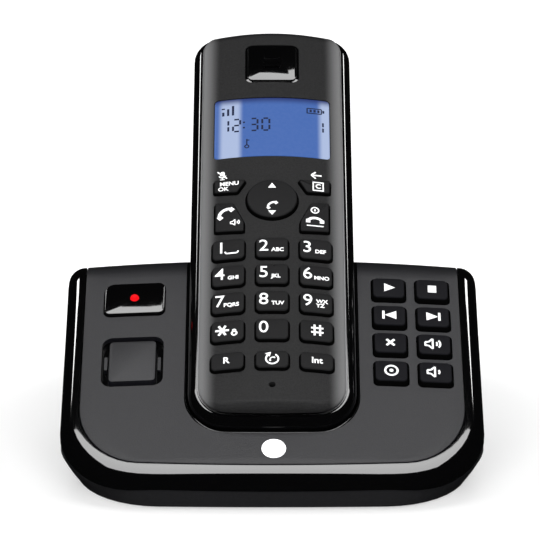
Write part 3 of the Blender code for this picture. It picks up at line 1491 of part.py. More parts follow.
def make_ear_and_display(handset):
    bm = bmesh.new()
    outline = rounded((0.0, EAR_PLACE), EAR_COVER, EAR_CORNER)
    rings = [
        (offset(outline, -KEY_SOFTENING), over(face, EAR_COVER_RISE)),
        (outline, over(face, EAR_COVER_RISE - KEY_SOFTENING)),
        (outline, flat(ear_floor() + GAP)),
    ]
    add_stack(bm, rings)
    cover = make("earpiece_cover", bm, LOOKS["gloss"], handset)
    bm = bmesh.new()
    for slot in (-1, 0, 1):
        place = (0.0, EAR_PLACE + slot * EAR_SLOT_PITCH)
        outline = rounded(place, EAR_SLOT, EAR_SLOT[1] / 2)
        add_prism(bm, outline, ear_floor() - OVERRUN, FACE_TOP + OVERRUN)
    change(cover, tool("ear_slots", bm, handset))

    bm = bmesh.new()
    rows = display_outline().rows()
    add_layers(bm, [(rows, over(face, 0.0)), (rows, over(face, -DISPLAY_THICKNESS))])
    make("display_lens", bm, LOOKS["lens"], handset)

    bm = bmesh.new()
    low = HAND_BOARD_TOP + GAP
    half = MODULE_HALF_WIDTH
    span = (DISPLAY_FROM - MODULE_OVERLAP, DISPLAY_TO + MODULE_OVERLAP)
    add_box(bm, (-half, half), span, (low, low + MODULE_HEIGHT))
    make("display_module", bm, LOOKS["module"], handset)

    bm = bmesh.new()
    top = low + EAR_SPEAKER_HEIGHT
    profile = [(EAR_SPEAKER_RADIUS - GAP, top), (EAR_SPEAKER_RADIUS, top - GAP), (EAR_SPEAKER_RADIUS, low)]
    add_turned(bm, (0.0, EAR_PLACE), profile)
    make("earpiece_speaker", bm, LOOKS["steel"], handset)

    bm = bmesh.new()
    low = -REAR_DEPTH + REAR_WALL + GAP
    top = low + SOUNDER_HEIGHT
    profile = [(SOUNDER_RADIUS / 2, top), (SOUNDER_RADIUS, top - SOUNDER_HEIGHT / 2), (SOUNDER_RADIUS, low)]
    add_turned(bm, (0.0, SOUNDER_PLACE), profile)
    make("hands_free_speaker", bm, LOOKS["steel"], handset)


def make_hand_board(handset):
    bm = bmesh.new()
    middle = (HAND_BOARD_FROM + HAND_BOARD_TO) / 2
    size = (2 * HAND_BOARD_HALF_WIDTH, HAND_BOARD_TO - HAND_BOARD_FROM)
    outline = rounded((0.0, middle), size, HAND_BOARD_CORNER)
    add_prism(bm, outline, HAND_BOARD_UNDERSIDE, HAND_BOARD_TOP)
    board = make("handset_circuit_board", bm, LOOKS["board"], handset)
    bm = bmesh.new()
    for place in both_sides(HAND_SCREW_PLACE):
        bore = HAND_SCREW_SHANK + GAP
        profile = [(bore, HAND_BOARD_TOP + OVERRUN), (bore, HAND_BOARD_UNDERSIDE - OVERRUN)]
        add_turned(bm, place, profile, SMALL_SEGMENTS)
    change(board, tool("board_holes", bm, handset))
    bm = bmesh.new()
    profile = [(MIC_RADIUS, HAND_BOARD_TOP + MIC_HEIGHT), (MIC_RADIUS, HAND_BOARD_TOP - GAP)]
    add_turned(bm, (0.0, MIC_PLACE), profile, SMALL_SEGMENTS)
    change(board, tool("microphone", bm, handset), "UNION")

    bm = bmesh.new()
    corner = (NUMBER_KEY_CORNER, NUMBER_KEY_CORNER)
    outline = Outline(HAND_MAT_HALF_WIDTH, HAND_MAT_FROM, HAND_MAT_TO, corner, corner)
    rows = outline.rows()
    add_layers(bm, [(rows, over(face, -HAND_MAT_DROP)), (rows, flat(HAND_BOARD_TOP + GAP))])
    make("handset_keypad_mat", bm, LOOKS["rubber"], handset)

    for place, side in zip(both_sides(HAND_SCREW_PLACE), ("left", "right")):
        bm = bmesh.new()
        seat = -HAND_SCREW_SEAT - GAP
        profile = [
            (HAND_SCREW_SHANK, HAND_BOARD_TOP + HAND_SCREW_GRIP),
            (HAND_SCREW_SHANK, seat),
            (HAND_SCREW_HEAD, seat),
            (HAND_SCREW_HEAD, seat - HAND_SCREW_SHANK),
        ]
        add_turned(bm, place, profile, SMALL_SEGMENTS)
        make(f"{side}_handset_screw", bm, LOOKS["steel"], handset)

    inside = -REAR_DEPTH + REAR_WALL + GAP
    bm = bmesh.new()
    size = (2 * CONTACT_X + CONTACT_SIZE[0], CONTACT_SIZE[1] + CONTACT_FLANGE)
    carrier = rounded((0.0, CONTACT_PLACE), size, LEAST_CORNER)
    add_prism(bm, carrier, inside, inside + CONTACT_FLANGE)
    contacts = make("handset_charge_contacts", bm, LOOKS["gold"], handset)
    bm = bmesh.new()
    for x in (-CONTACT_X, CONTACT_X):
        pad = rounded((x, CONTACT_PLACE), CONTACT_SIZE, LEAST_CORNER)
        add_prism(bm, offset(pad, -GAP), -REAR_DEPTH + CONTACT_RECESS, inside + CONTACT_FLANGE / 2)
    change(contacts, tool("charge_pads", bm, handset), "UNION")


def centre_on_origin(root):
    """Moves the phone so that the origin is under the middle of its bounding box."""
    bpy.context.view_layer.update()
    graph = bpy.context.evaluated_depsgraph_get()
    low, high = math.inf, -math.inf
    for obj in bpy.data.objects:
        if obj.type != "MESH" or obj.hide_render:
            continue
        evaluated = obj.evaluated_get(graph)
        for vertex in evaluated.data.vertices:
            y = (evaluated.matrix_world @ vertex.co).y
            low, high = min(low, y), max(high, y)
    root.location.y = -(low + high) / 2


def main():
    root = frame_empty("telephone", None)
    plate = frame_empty("plate_frame", root, (0.0, 0.0, FRONT_EDGE_HEIGHT), PLATE_SLOPE)
    handset_y, handset_z = slope_point(HANDSET_START, 0.0)
    handset = frame_empty("handset_frame", root, (0.0, handset_y, handset_z), HANDSET_SLOPE)
    make_top_case(plate, root, handset)
    make_top_plate(plate, handset)
    make_message_window(plate)
    make_base_keys(plate)
    make_key_board(plate)
    make_bottom_case(plate, root)
    make_feet(root)
    make_base_screws(root)
    make_loudspeaker(root)
    make_main_board(root)
    make_line_socket(root)
    make_cradle(plate, handset)
    make_charge_pins(handset)
    make_front_shell(handset)
    make_trim(handset)
    make_rear_shell(handset)
    make_battery(handset)
    make_face_keys(handset)
    make_ear_and_display(handset)
    make_hand_board(handset)
    centre_on_origin(root)


remove_everything()
LOOKS = {
    "charcoal": material("charcoal_plastic", (0.075, 0.075, 0.080), 0.55),
    "gloss": material("gloss_black_plastic", (0.006, 0.006, 0.007), 0.08),
    "satin_black": material("satin_black_plastic", (0.020, 0.020, 0.021), 0.45),
    "key": material("key_plastic", (0.022, 0.022, 0.024), 0.42),
    "trim": material("bright_trim", (0.62, 0.62, 0.64), 0.2, 1.0),
    "lens": material("blue_display_lens", (0.06, 0.17, 0.50), 0.08),
    "lamp": material("red_lamp", (0.75, 0.02, 0.01), 0.25),
    "module": material("display_module_grey", (0.25, 0.28, 0.30), 0.4),
    "board": material("circuit_board_green", (0.02, 0.12, 0.05), 0.4),
    "rubber": material("black_rubber", (0.015, 0.015, 0.015), 0.85),
    "steel": material("zinc_plated_steel", (0.45, 0.45, 0.46), 0.35, 1.0),
    "gold": material("gold_plated_contact", (0.80, 0.58, 0.25), 0.25, 1.0),
    "cell": material("battery_sleeve", (0.05, 0.20, 0.12), 0.35),
}
main()
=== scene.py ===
"""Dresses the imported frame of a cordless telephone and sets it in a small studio.

The shells, keys and prints are modelled here with Blender's operators, in metres, and ride on
the frame's bodies. Inner parts keep their CAD shape and get a finish.
"""

import logging
import math
from dataclasses import dataclass, field, replace
from enum import Enum
from typing import Callable, Iterable, Sequence

import bmesh
import bpy
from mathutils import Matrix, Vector


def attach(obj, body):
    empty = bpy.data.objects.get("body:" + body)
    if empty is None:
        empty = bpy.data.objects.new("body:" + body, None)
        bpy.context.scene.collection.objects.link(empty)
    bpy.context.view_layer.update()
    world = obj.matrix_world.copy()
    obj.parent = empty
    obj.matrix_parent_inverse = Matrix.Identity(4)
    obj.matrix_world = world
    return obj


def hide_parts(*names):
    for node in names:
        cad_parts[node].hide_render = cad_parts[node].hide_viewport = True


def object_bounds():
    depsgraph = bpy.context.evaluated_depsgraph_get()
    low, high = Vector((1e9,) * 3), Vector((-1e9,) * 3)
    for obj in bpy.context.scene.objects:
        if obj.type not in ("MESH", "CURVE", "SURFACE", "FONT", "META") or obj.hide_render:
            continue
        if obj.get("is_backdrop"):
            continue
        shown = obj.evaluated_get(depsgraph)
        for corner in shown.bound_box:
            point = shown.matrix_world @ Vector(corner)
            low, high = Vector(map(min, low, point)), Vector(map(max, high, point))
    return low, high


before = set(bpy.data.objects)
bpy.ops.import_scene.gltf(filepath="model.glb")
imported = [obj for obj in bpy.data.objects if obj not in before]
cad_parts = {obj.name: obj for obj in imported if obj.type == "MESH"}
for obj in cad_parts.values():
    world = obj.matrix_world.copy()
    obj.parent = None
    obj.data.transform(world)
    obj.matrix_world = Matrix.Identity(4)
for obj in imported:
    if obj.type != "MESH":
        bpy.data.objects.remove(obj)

logging.basicConfig(level=logging.INFO, format="%(levelname)s %(message)s")
log = logging.getLogger("telephone")

Point = tuple[float, float]
Colour = tuple[float, float, float]
Rows = list[list[Point]]
Height = Callable[[float, float], float]
Level = tuple[Rows, Height]
Ring = tuple[Sequence[Point], Height]

GAP = 0.0003
OVERRUN = 0.002


class Body(str, Enum):
    """Bodies of the frame that carry more than one piece."""

    BASE = "base"
    HANDSET = "handset"
    DOOR = "battery_door"


class Slot(str, Enum):
    """Material slots of the record."""

    CHARCOAL = "charcoal_plastic"
    GLOSS = "gloss_black_plastic"
    SATIN = "satin_black_plastic"
    KEY = "key_plastic"
    TRIM = "bright_trim"
    LENS = "blue_display_lens"
    LAMP = "red_lamp"
    MODULE = "display_module_grey"
    BOARD = "circuit_board_green"
    RUBBER = "black_rubber"
    STEEL = "zinc_plated_steel"
    GOLD = "gold_plated_contact"
    CELL = "battery_sleeve"


class Socket:
    """A node's output that can be used in sums like a number."""

    def __init__(self, graph: "Graph", output: bpy.types.NodeSocket) -> None:
        self.graph = graph
        self.output = output

    def _sum(self, operation: str, first: "Value", second: "Value") -> "Socket":
        node = self.graph.node("ShaderNodeMath", operation=operation)
        self.graph.plug(first, node.inputs[0])
        self.graph.plug(second, node.inputs[1])
        return Socket(self.graph, node.outputs[0])

    def __add__(self, other: "Value") -> "Socket":
        return self._sum("ADD", self, other)

    def __radd__(self, other: "Value") -> "Socket":
        return self._sum("ADD", other, self)

    def __sub__(self, other: "Value") -> "Socket":
        return self._sum("SUBTRACT", self, other)

    def __rsub__(self, other: "Value") -> "Socket":
        return self._sum("SUBTRACT", other, self)

    def __mul__(self, other: "Value") -> "Socket":
        return self._sum("MULTIPLY", self, other)

    def __rmul__(self, other: "Value") -> "Socket":
        return self._sum("MULTIPLY", other, self)

    def __abs__(self) -> "Socket":
        return self._sum("ABSOLUTE", self, 0.0)


Value = Socket | float


class Graph:
    """A material's node tree, with one Principled shader."""

    def __init__(self, name: str) -> None:
        self.material = bpy.data.materials.new(name)
        self.material.use_nodes = True
        self.tree = self.material.node_tree
        self.shader = self.tree.nodes["Principled BSDF"]

    def node(self, kind: str, **settings: str) -> bpy.types.Node:
        """Adds a node and sets its properties."""
        made = self.tree.nodes.new(kind)
        for name, value in settings.items():
            setattr(made, name, value)
        return made

    def plug(self, value: Value | tuple, target: bpy.types.NodeSocket) -> None:
        """Links a socket to the input, or sets the input to a value."""
        if isinstance(value, Socket):
            self.tree.links.new(value.output, target)
        else:
            target.default_value = value

    def set(self, name: str, value: Value | tuple) -> None:
        """Sets or links one input of the shader."""
        self.plug(value, self.shader.inputs[name])

    def place(self) -> Socket:
        """The surface point in the object's own coordinates."""
        return Socket(self, self.node("ShaderNodeTexCoord").outputs["Object"])

    def axes(self, vector: Socket) -> tuple[Socket, Socket, Socket]:
        """The three parts of a vector."""
        node = self.node("ShaderNodeSeparateXYZ")
        self.plug(vector, node.inputs[0])
        return tuple(Socket(self, output) for output in node.outputs)

    def noise(self, vector: Socket, scale: float, detail: float = 2.0) -> Socket:
        """Noise of 0 to 1 at this scale."""
        node = self.node("ShaderNodeTexNoise")
        self.plug(vector, node.inputs["Vector"])
        node.inputs["Scale"].default_value = scale
        node.inputs["Detail"].default_value = detail
        return Socket(self, node.outputs[0])

    def remap(self, value: Socket, source: Point, target: Point) -> Socket:
        """The value carried from one range to another, smoothly and clamped."""
        node = self.node("ShaderNodeMapRange", interpolation_type="SMOOTHSTEP")
        for number, part in enumerate((value, *source, *target)):
            self.plug(part, node.inputs[number])
        return Socket(self, node.outputs[0])

    def blend(self, share: Value, first: tuple | Socket, second: tuple | Socket) -> Socket:
        """The colour this share of the way from the first to the second."""
        node = self.node("ShaderNodeMix", data_type="RGBA")
        self.plug(share, node.inputs[0])
        self.plug(first, node.inputs[6])
        self.plug(second, node.inputs[7])
        return Socket(self, node.outputs[2])

    def bump(self, height: Socket, strength: float, distance: float) -> None:
        """Roughens the surface with this height."""
        node = self.node("ShaderNodeBump")
        node.inputs["Strength"].default_value = strength
        node.inputs["Distance"].default_value = distance
        self.plug(height, node.inputs["Height"])
        self.plug(Socket(self, node.outputs[0]), self.shader.inputs["Normal"])


def opaque(colour: Colour) -> tuple[float, float, float, float]:
    """The colour with full alpha."""
    return (*colour, 1.0)


@dataclass(frozen=True)
class Finish:
    """A surface: its colour, its sheen and its fine texture.

    Args:
        speckle: share by which the colour wanders from grain to grain.
        grain: noise scale of the speckle and of the bump.
        relief: height of the bump in metres.
        black_from: y past which a board is black, where it is one solid with its socket.
    """

    name: str
    colour: Colour
    roughness: float
    metallic: float = 0.0
    specular: float = 0.5
    coat: float = 0.0
    coat_roughness: float = 0.05
    speckle: float = 0.0
    grain: float = 2600.0
    relief: float = 0.0
    glow: float = 0.0
    black_from: float | None = None

    def material(self) -> bpy.types.Material:
        """Builds the material, or returns it if it is there already."""
        known = bpy.data.materials.get(self.name)
        if known is not None:
            return known
        graph = Graph(self.name)
        graph.set("Base Color", opaque(self.colour))
        graph.set("Roughness", self.roughness)
        graph.set("Metallic", self.metallic)
        graph.set("Specular IOR Level", self.specular)
        graph.set("Coat Weight", self.coat)
        graph.set("Coat Roughness", self.coat_roughness)
        if self.glow:
            graph.set("Base Color", opaque((0.02, 0.0, 0.0)))
            graph.set("Emission Color", opaque(self.colour))
            graph.set("Emission Strength", self.glow)
        if self.speckle:
            grain = graph.noise(graph.place(), self.grain)
            share = graph.remap(grain, (0.3, 0.7), (0.0, 1.0))
            dark = opaque(tuple(part * (1 - self.speckle) for part in self.colour))
            light = opaque(tuple(part * (1 + self.speckle) for part in self.colour))
            colour = graph.blend(share, dark, light)
            if self.black_from is not None:
                _, y, _ = graph.axes(graph.place())
                past = graph.remap(y, (self.black_from, self.black_from + GAP), (0.0, 1.0))
                colour = graph.blend(past, colour, opaque((0.01, 0.01, 0.01)))
            graph.set("Base Color", colour)
            if self.relief:
                graph.bump(grain, 1.0, self.relief)
        return graph.material


@dataclass(frozen=True)
class KeyFinishWithPaintedShade:
    """Key plastic that is grey on top, with painted shade that makes it black down the sides.

    Args:
        place: y, z and slope of the surface that the keys stand in.
        crown_radius: radius of that surface's crown.
        start: height over the slope at which the painted shade ends.
        end: height at which the grey is full.
    """

    name: str
    place: tuple[float, float, float]
    crown_radius: float
    start: float
    end: float
    top: Colour = (0.0055, 0.0055, 0.0067)
    # painted shade: the key's sides are darkened to near black where shade falls
    side: Colour = (0.001, 0.001, 0.001)

    def material(self) -> bpy.types.Material:
        """Builds the material, or returns it if it is there already."""
        known = bpy.data.materials.get(self.name)
        if known is not None:
            return known
        graph = Graph(self.name)
        x, y, z = graph.axes(graph.place())
        near, low, angle = self.place
        height = (z - low) * math.cos(angle) - (y - near) * math.sin(angle)
        height = height + x * x * (0.5 / self.crown_radius)
        share = graph.remap(height, (self.start, self.end), (0.0, 1.0))
        # painted shade: black below the start height, grey above the end height
        graph.set("Base Color", graph.blend(share, opaque(self.side), opaque(self.top)))
        graph.set("Roughness", 0.55)
        graph.set("Specular IOR Level", 0.03)
        return graph.material


@dataclass(frozen=True)
class FaceFinishWithPaintedSheen:
    """The handset's satin face, with a painted highlight that makes it lighter towards its long edges.

    Args:
        edge: distances from the middle at which the painted edge highlight starts and is full.
    """

    name: str
    middle: Colour = (0.0085, 0.0085, 0.0087)
    # colour of the painted highlight along the long edges
    sheen: Colour = (0.13, 0.13, 0.132)
    edge: Point = (0.0160, 0.0212)

    def material(self) -> bpy.types.Material:
        """Builds the material, or returns it if it is there already."""
        known = bpy.data.materials.get(self.name)
        if known is not None:
            return known
        graph = Graph(self.name)
        place = graph.place()
        across, _, _ = graph.axes(place)
        grain = graph.noise(place, 2600.0)
        lift = graph.remap(grain, (0.3, 0.7), (-0.05, 0.05))
        # painted highlight: the base colour lightens towards the long edges
        share = graph.remap(abs(across), self.edge, (0.02, 0.9)) + lift * 0.4
        graph.set("Base Color", graph.blend(share, opaque(self.middle), opaque(self.sheen)))
        graph.set("Roughness", 0.42)
        graph.set("Specular IOR Level", 0.06)
        graph.bump(grain, 1.0, 0.00003)
        return graph.material


@dataclass(frozen=True)
class BacklitFinish:
    """The blue display, which glows: painted highlights make it paler in bands at both sides, and painted
    shade darkens it under its upper edge.
    """

    name: str = "backlit_blue"
    blue: Colour = (0.045, 0.128, 0.425)
    pale: Colour = (0.43, 0.52, 0.74)
    dark: Colour = (0.001, 0.013, 0.130)
    # places and half widths of the painted highlight bands
    left_band: Point = (-0.0128, 0.0031)
    right_band: Point = (0.0163, 0.0017)
    blur: float = 0.0011
    high: float = 0.1019
    upper_shade: float = 0.0020
    bend: float = -4.5

    def material(self) -> bpy.types.Material:
        """Builds the material."""
        graph = Graph(self.name)
        across, _, up = graph.axes(graph.place())
        # painted shade: the glow turns dark blue under the upper edge
        edge = up - across * across * self.bend
        shade = graph.remap(edge, (self.high - self.upper_shade, self.high), (0.0, 0.95))
        mottle = graph.remap(graph.noise(graph.place(), 900.0), (0.3, 0.7), (0.0, 0.02))
        colour = graph.blend(mottle, opaque(self.blue), opaque(self.pale))
        # painted highlights: paler bands in the glow
        for (middle, half), strength in ((self.left_band, 0.95), (self.right_band, 0.95)):
            away = abs(across - middle)
            glow = graph.remap(away, (half - self.blur, half + self.blur), (strength, 0.0))
            colour = graph.blend(glow, colour, opaque(self.pale))
        colour = graph.blend(shade, colour, opaque(self.dark))
        graph.set("Base Color", (0.002, 0.004, 0.010, 1.0))
        graph.set("Emission Color", colour)
        graph.set("Emission Strength", 0.97)
        graph.set("Roughness", 0.4)
        graph.set("Specular IOR Level", 0.15)
        return graph.material


class Look:
    """The finishes of the telephone."""

    PLATE = Finish("plate_charcoal", (0.0045, 0.0045, 0.0060), 0.48, specular=0.33, speckle=0.3,
                   relief=0.00005)
    FACE = FaceFinishWithPaintedSheen("face_charcoal")
    GLOSS = Finish("piano_black", (0.0008, 0.0008, 0.0009), 0.06, coat=0.6, coat_roughness=0.03)
    SATIN = Finish("case_black", (0.0075, 0.0075, 0.0082), 0.5, specular=0.12, speckle=0.15, relief=0.00002)
    BASE_KEY = KeyFinishWithPaintedShade("base_key_black", (-0.06689876, 0.0133, math.radians(35)), 0.714, 0.0011, 0.0014)
    HAND_KEY = KeyFinishWithPaintedShade(
        "hand_key_black", (-0.05657744, 0.02052706, math.radians(37.5)), 0.085, 0.0083, 0.0087,
        (0.0105, 0.0105, 0.0108))
    PRINT = Finish("white_print", (0.86, 0.86, 0.87), 0.6, specular=0.1)
    TRIM = Finish("bright_band", (0.13, 0.13, 0.133), 0.35, metallic=1.0)
    LAMP = Finish("lamp_red", (0.95, 0.007, 0.012), 0.5, specular=0.05, glow=1.0)
    SEGMENT = Finish("display_segment", (0.004, 0.008, 0.030), 0.5, specular=0.1)
    BADGE = Finish("badge_silver", (0.72, 0.72, 0.74), 0.35, metallic=0.6)
    MODULE = Finish("module_grey", (0.25, 0.28, 0.30), 0.4)
    BOARD = Finish("solder_mask", (0.02, 0.12, 0.05), 0.35, speckle=0.2, grain=900.0, black_from=0.0)
    RUBBER = Finish("foot_rubber", (0.015, 0.015, 0.015), 0.8, specular=0.2)
    STEEL = Finish("zinc_steel", (0.50, 0.50, 0.51), 0.32, metallic=1.0)
    GOLD = Finish("contact_gold", (0.80, 0.58, 0.25), 0.22, metallic=1.0)
    CELL = Finish("cell_sleeve", (0.05, 0.20, 0.12), 0.35)


@dataclass(frozen=True)
class Slope:
    """A sloping frame with X across, Y up the slope and Z out of the surface.

    Args:
        y: where the frame's origin lies from front to back.
        z: its height.
        angle: the slope in radians.
    """

    y: float
    z: float
    angle: float

    def place(self, x: float, s: float, n: float) -> Vector:
        """The world point at (x, s, n) of the frame."""
        cosine, sine = math.cos(self.angle), math.sin(self.angle)
        return Vector((x, self.y + s * cosine - n * sine, self.z + s * sine + n * cosine))


@dataclass(frozen=True)
class RidgedSlope(Slope):
    """A slope that rolls over a ridge and ends straight down."""

    ridge: float = 0.0729
    radius: float = 0.014

    @property
    def wrap(self) -> float:
        """The turn from the slope to straight down."""
        return math.pi / 2 + self.angle

    @property
    def ridge_end(self) -> float:
        """Distance along the profile where the back begins to drop."""
        return self.ridge + self.radius * self.wrap

    def place(self, x: float, s: float, n: float) -> Vector:
        """The world point s along the profile and n above it."""
        if s <= self.ridge:
            return super().place(x, s, n)
        turn = min((s - self.ridge) / self.radius, self.wrap)
        run = max(s - self.ridge_end, 0.0)
        radius = self.radius + n
        along = self.ridge + radius * math.sin(turn) + run * math.cos(turn)
        above = radius * math.cos(turn) - self.radius - run * math.sin(turn)
        return super().place(x, along, above)

    def stations(self, steps: int) -> list[float]:
        """Places of cross rows on the straight part and over the ridge."""
        straight = [self.ridge * share for share in (0.4, 0.55, 0.7, 0.85)]
        arc = self.radius * self.wrap
        return straight + [self.ridge + arc * step / steps for step in range(steps + 1)]


FLOOR = Slope(0.0, 0.0, 0.0)
PLATE = RidgedSlope(-0.06689876, 0.0133, math.radians(35))
HAND = Slope(-0.05657744, 0.02052706, math.radians(37.5))


@dataclass(frozen=True)
class Outline:
    """A long outline that is alike left and right, with elliptical corners and bowed ends."""

    half_width: float
    start: float
    end: float
    front: Point
    back: Point
    bow: Point = (0.0, 0.0)
    columns: int = 20
    steps: int = 10

    def grown(self, side: float, ends: float | None = None) -> "Outline":
        """The outline moved outwards by side, and by ends at both ends."""
        ends = side if ends is None else ends
        least = 0.0006
        corners = [(max(a + side, least), max(b + ends, least)) for a, b in (self.front, self.back)]
        return replace(
            self,
            half_width=self.half_width + side,
            start=self.start - ends,
            end=self.end + ends,
            front=corners[0],
            back=corners[1],
        )

    def blended(self, other: "Outline", share: float) -> "Outline":
        """The outline that lies this share of the way to the other one."""

        def mix(a: float, b: float) -> float:
            return a + (b - a) * share

        def pair(a: Point, b: Point) -> Point:
            return (mix(a[0], b[0]), mix(a[1], b[1]))

        return replace(
            self,
            half_width=mix(self.half_width, other.half_width),
            start=mix(self.start, other.start),
            end=mix(self.end, other.end),
            front=pair(self.front, other.front),
            back=pair(self.back, other.back),
            bow=pair(self.bow, other.bow),
        )

    def _row(self, half: float, s: float, bow: float, curved: bool) -> list[Point]:
        lift = 0.0 if curved else bow * (half / self.half_width) ** 2
        row = []
        for column in range(self.columns + 1):
            x = half * (2 * column / self.columns - 1)
            bend = bow * (x / self.half_width) ** 2 if curved else lift
            row.append((x, s + bend))
        return row

    def rows(self, stations: Iterable[float] = ()) -> Rows:
        """Rows of points from the front end to the back end."""
        found = []
        for step in range(self.steps + 1):
            turn = math.pi / 2 * step / self.steps
            half = self.half_width - self.front[0] * (1 - math.sin(turn))
            s = self.start + self.front[1] * (1 - math.cos(turn))
            found.append(self._row(half, s, self.bow[0], step == 0))
        found += [self._row(self.half_width, s, 0.0, False) for s in stations]
        for step in range(self.steps, -1, -1):
            turn = math.pi / 2 * step / self.steps
            half = self.half_width - self.back[0] * (1 - math.sin(turn))
            s = self.end - self.back[1] * (1 - math.cos(turn))
            found.append(self._row(half, s, -self.bow[1], step == 0))
        return found

    def ring(self, stations: Iterable[float] = ()) -> list[Point]:
        """The points round the outline, anticlockwise from above."""
        return ring_of(self.rows(stations))


def ring_of(rows: Rows) -> list[Point]:
    """The points round a grid of rows, anticlockwise from above."""
    right = [row[-1] for row in rows[1:-1]]
    left = [row[0] for row in reversed(rows[1:-1])]
    return list(rows[0]) + right + list(reversed(rows[-1])) + left


def flat(height: float) -> Height:
    """The same height everywhere."""
    return lambda x, s: height


def over(surface: Callable[[float], float], lift: float) -> Height:
    """A height above a surface that is crowned across."""
    return lambda x, s: surface(x) + lift


def rounded(centre: Point, size: Point, corners: float | Sequence[float], steps: int = 7) -> list[Point]:
    """A rectangle with rounded corners: near right, far right, far left, near left."""
    radii = (corners,) * 4 if isinstance(corners, float) else corners
    points = []
    for number, (radius, (side, end)) in enumerate(zip(radii, ((1, -1), (1, 1), (-1, 1), (-1, -1)))):
        x = centre[0] + side * (size[0] / 2 - radius)
        y = centre[1] + end * (size[1] / 2 - radius)
        for step in range(steps):
            turn = math.pi / 2 * (number - 1 + step / (steps - 1))
            points.append((x + radius * math.cos(turn), y + radius * math.sin(turn)))
    return points


def circle(centre: Point, radius: float, segments: int = 32) -> list[Point]:
    """Points round a circle, anticlockwise."""
    turns = [2 * math.pi * index / segments for index in range(segments)]
    return [(centre[0] + radius * math.cos(t), centre[1] + radius * math.sin(t)) for t in turns]


def offset(points: Sequence[Point], distance: float) -> list[Point]:
    """The outline with each side moved outwards, for points that run anticlockwise."""
    moved = []
    for index, point in enumerate(points):
        here = Vector(point)
        before = (here - Vector(points[index - 1])).normalized()
        after = (Vector(points[(index + 1) % len(points)]) - here).normalized()
        out = Vector((before.y + after.y, -before.x - after.x))
        moved.append(tuple(here + out * (distance / (1 + before.dot(after)))))
    return moved


def softened(points: Sequence[Point], radius: float, steps: int = 6) -> list[Point]:
    """The outline with each corner rounded."""
    soft = []
    for index, point in enumerate(points):
        here = Vector(point)
        to_before = (Vector(points[index - 1]) - here).normalized()
        to_after = (Vector(points[(index + 1) % len(points)]) - here).normalized()
        for step in range(steps):
            share = step / (steps - 1)
            pull = to_before * (1 - share) ** 2 + to_after * share**2
            soft.append(tuple(here + pull * radius))
    return soft


def swapped(points: Sequence[Point]) -> list[Point]:
    """The outline on the other side of the middle, still anticlockwise."""
    return [(-x, y) for x, y in reversed(points)]


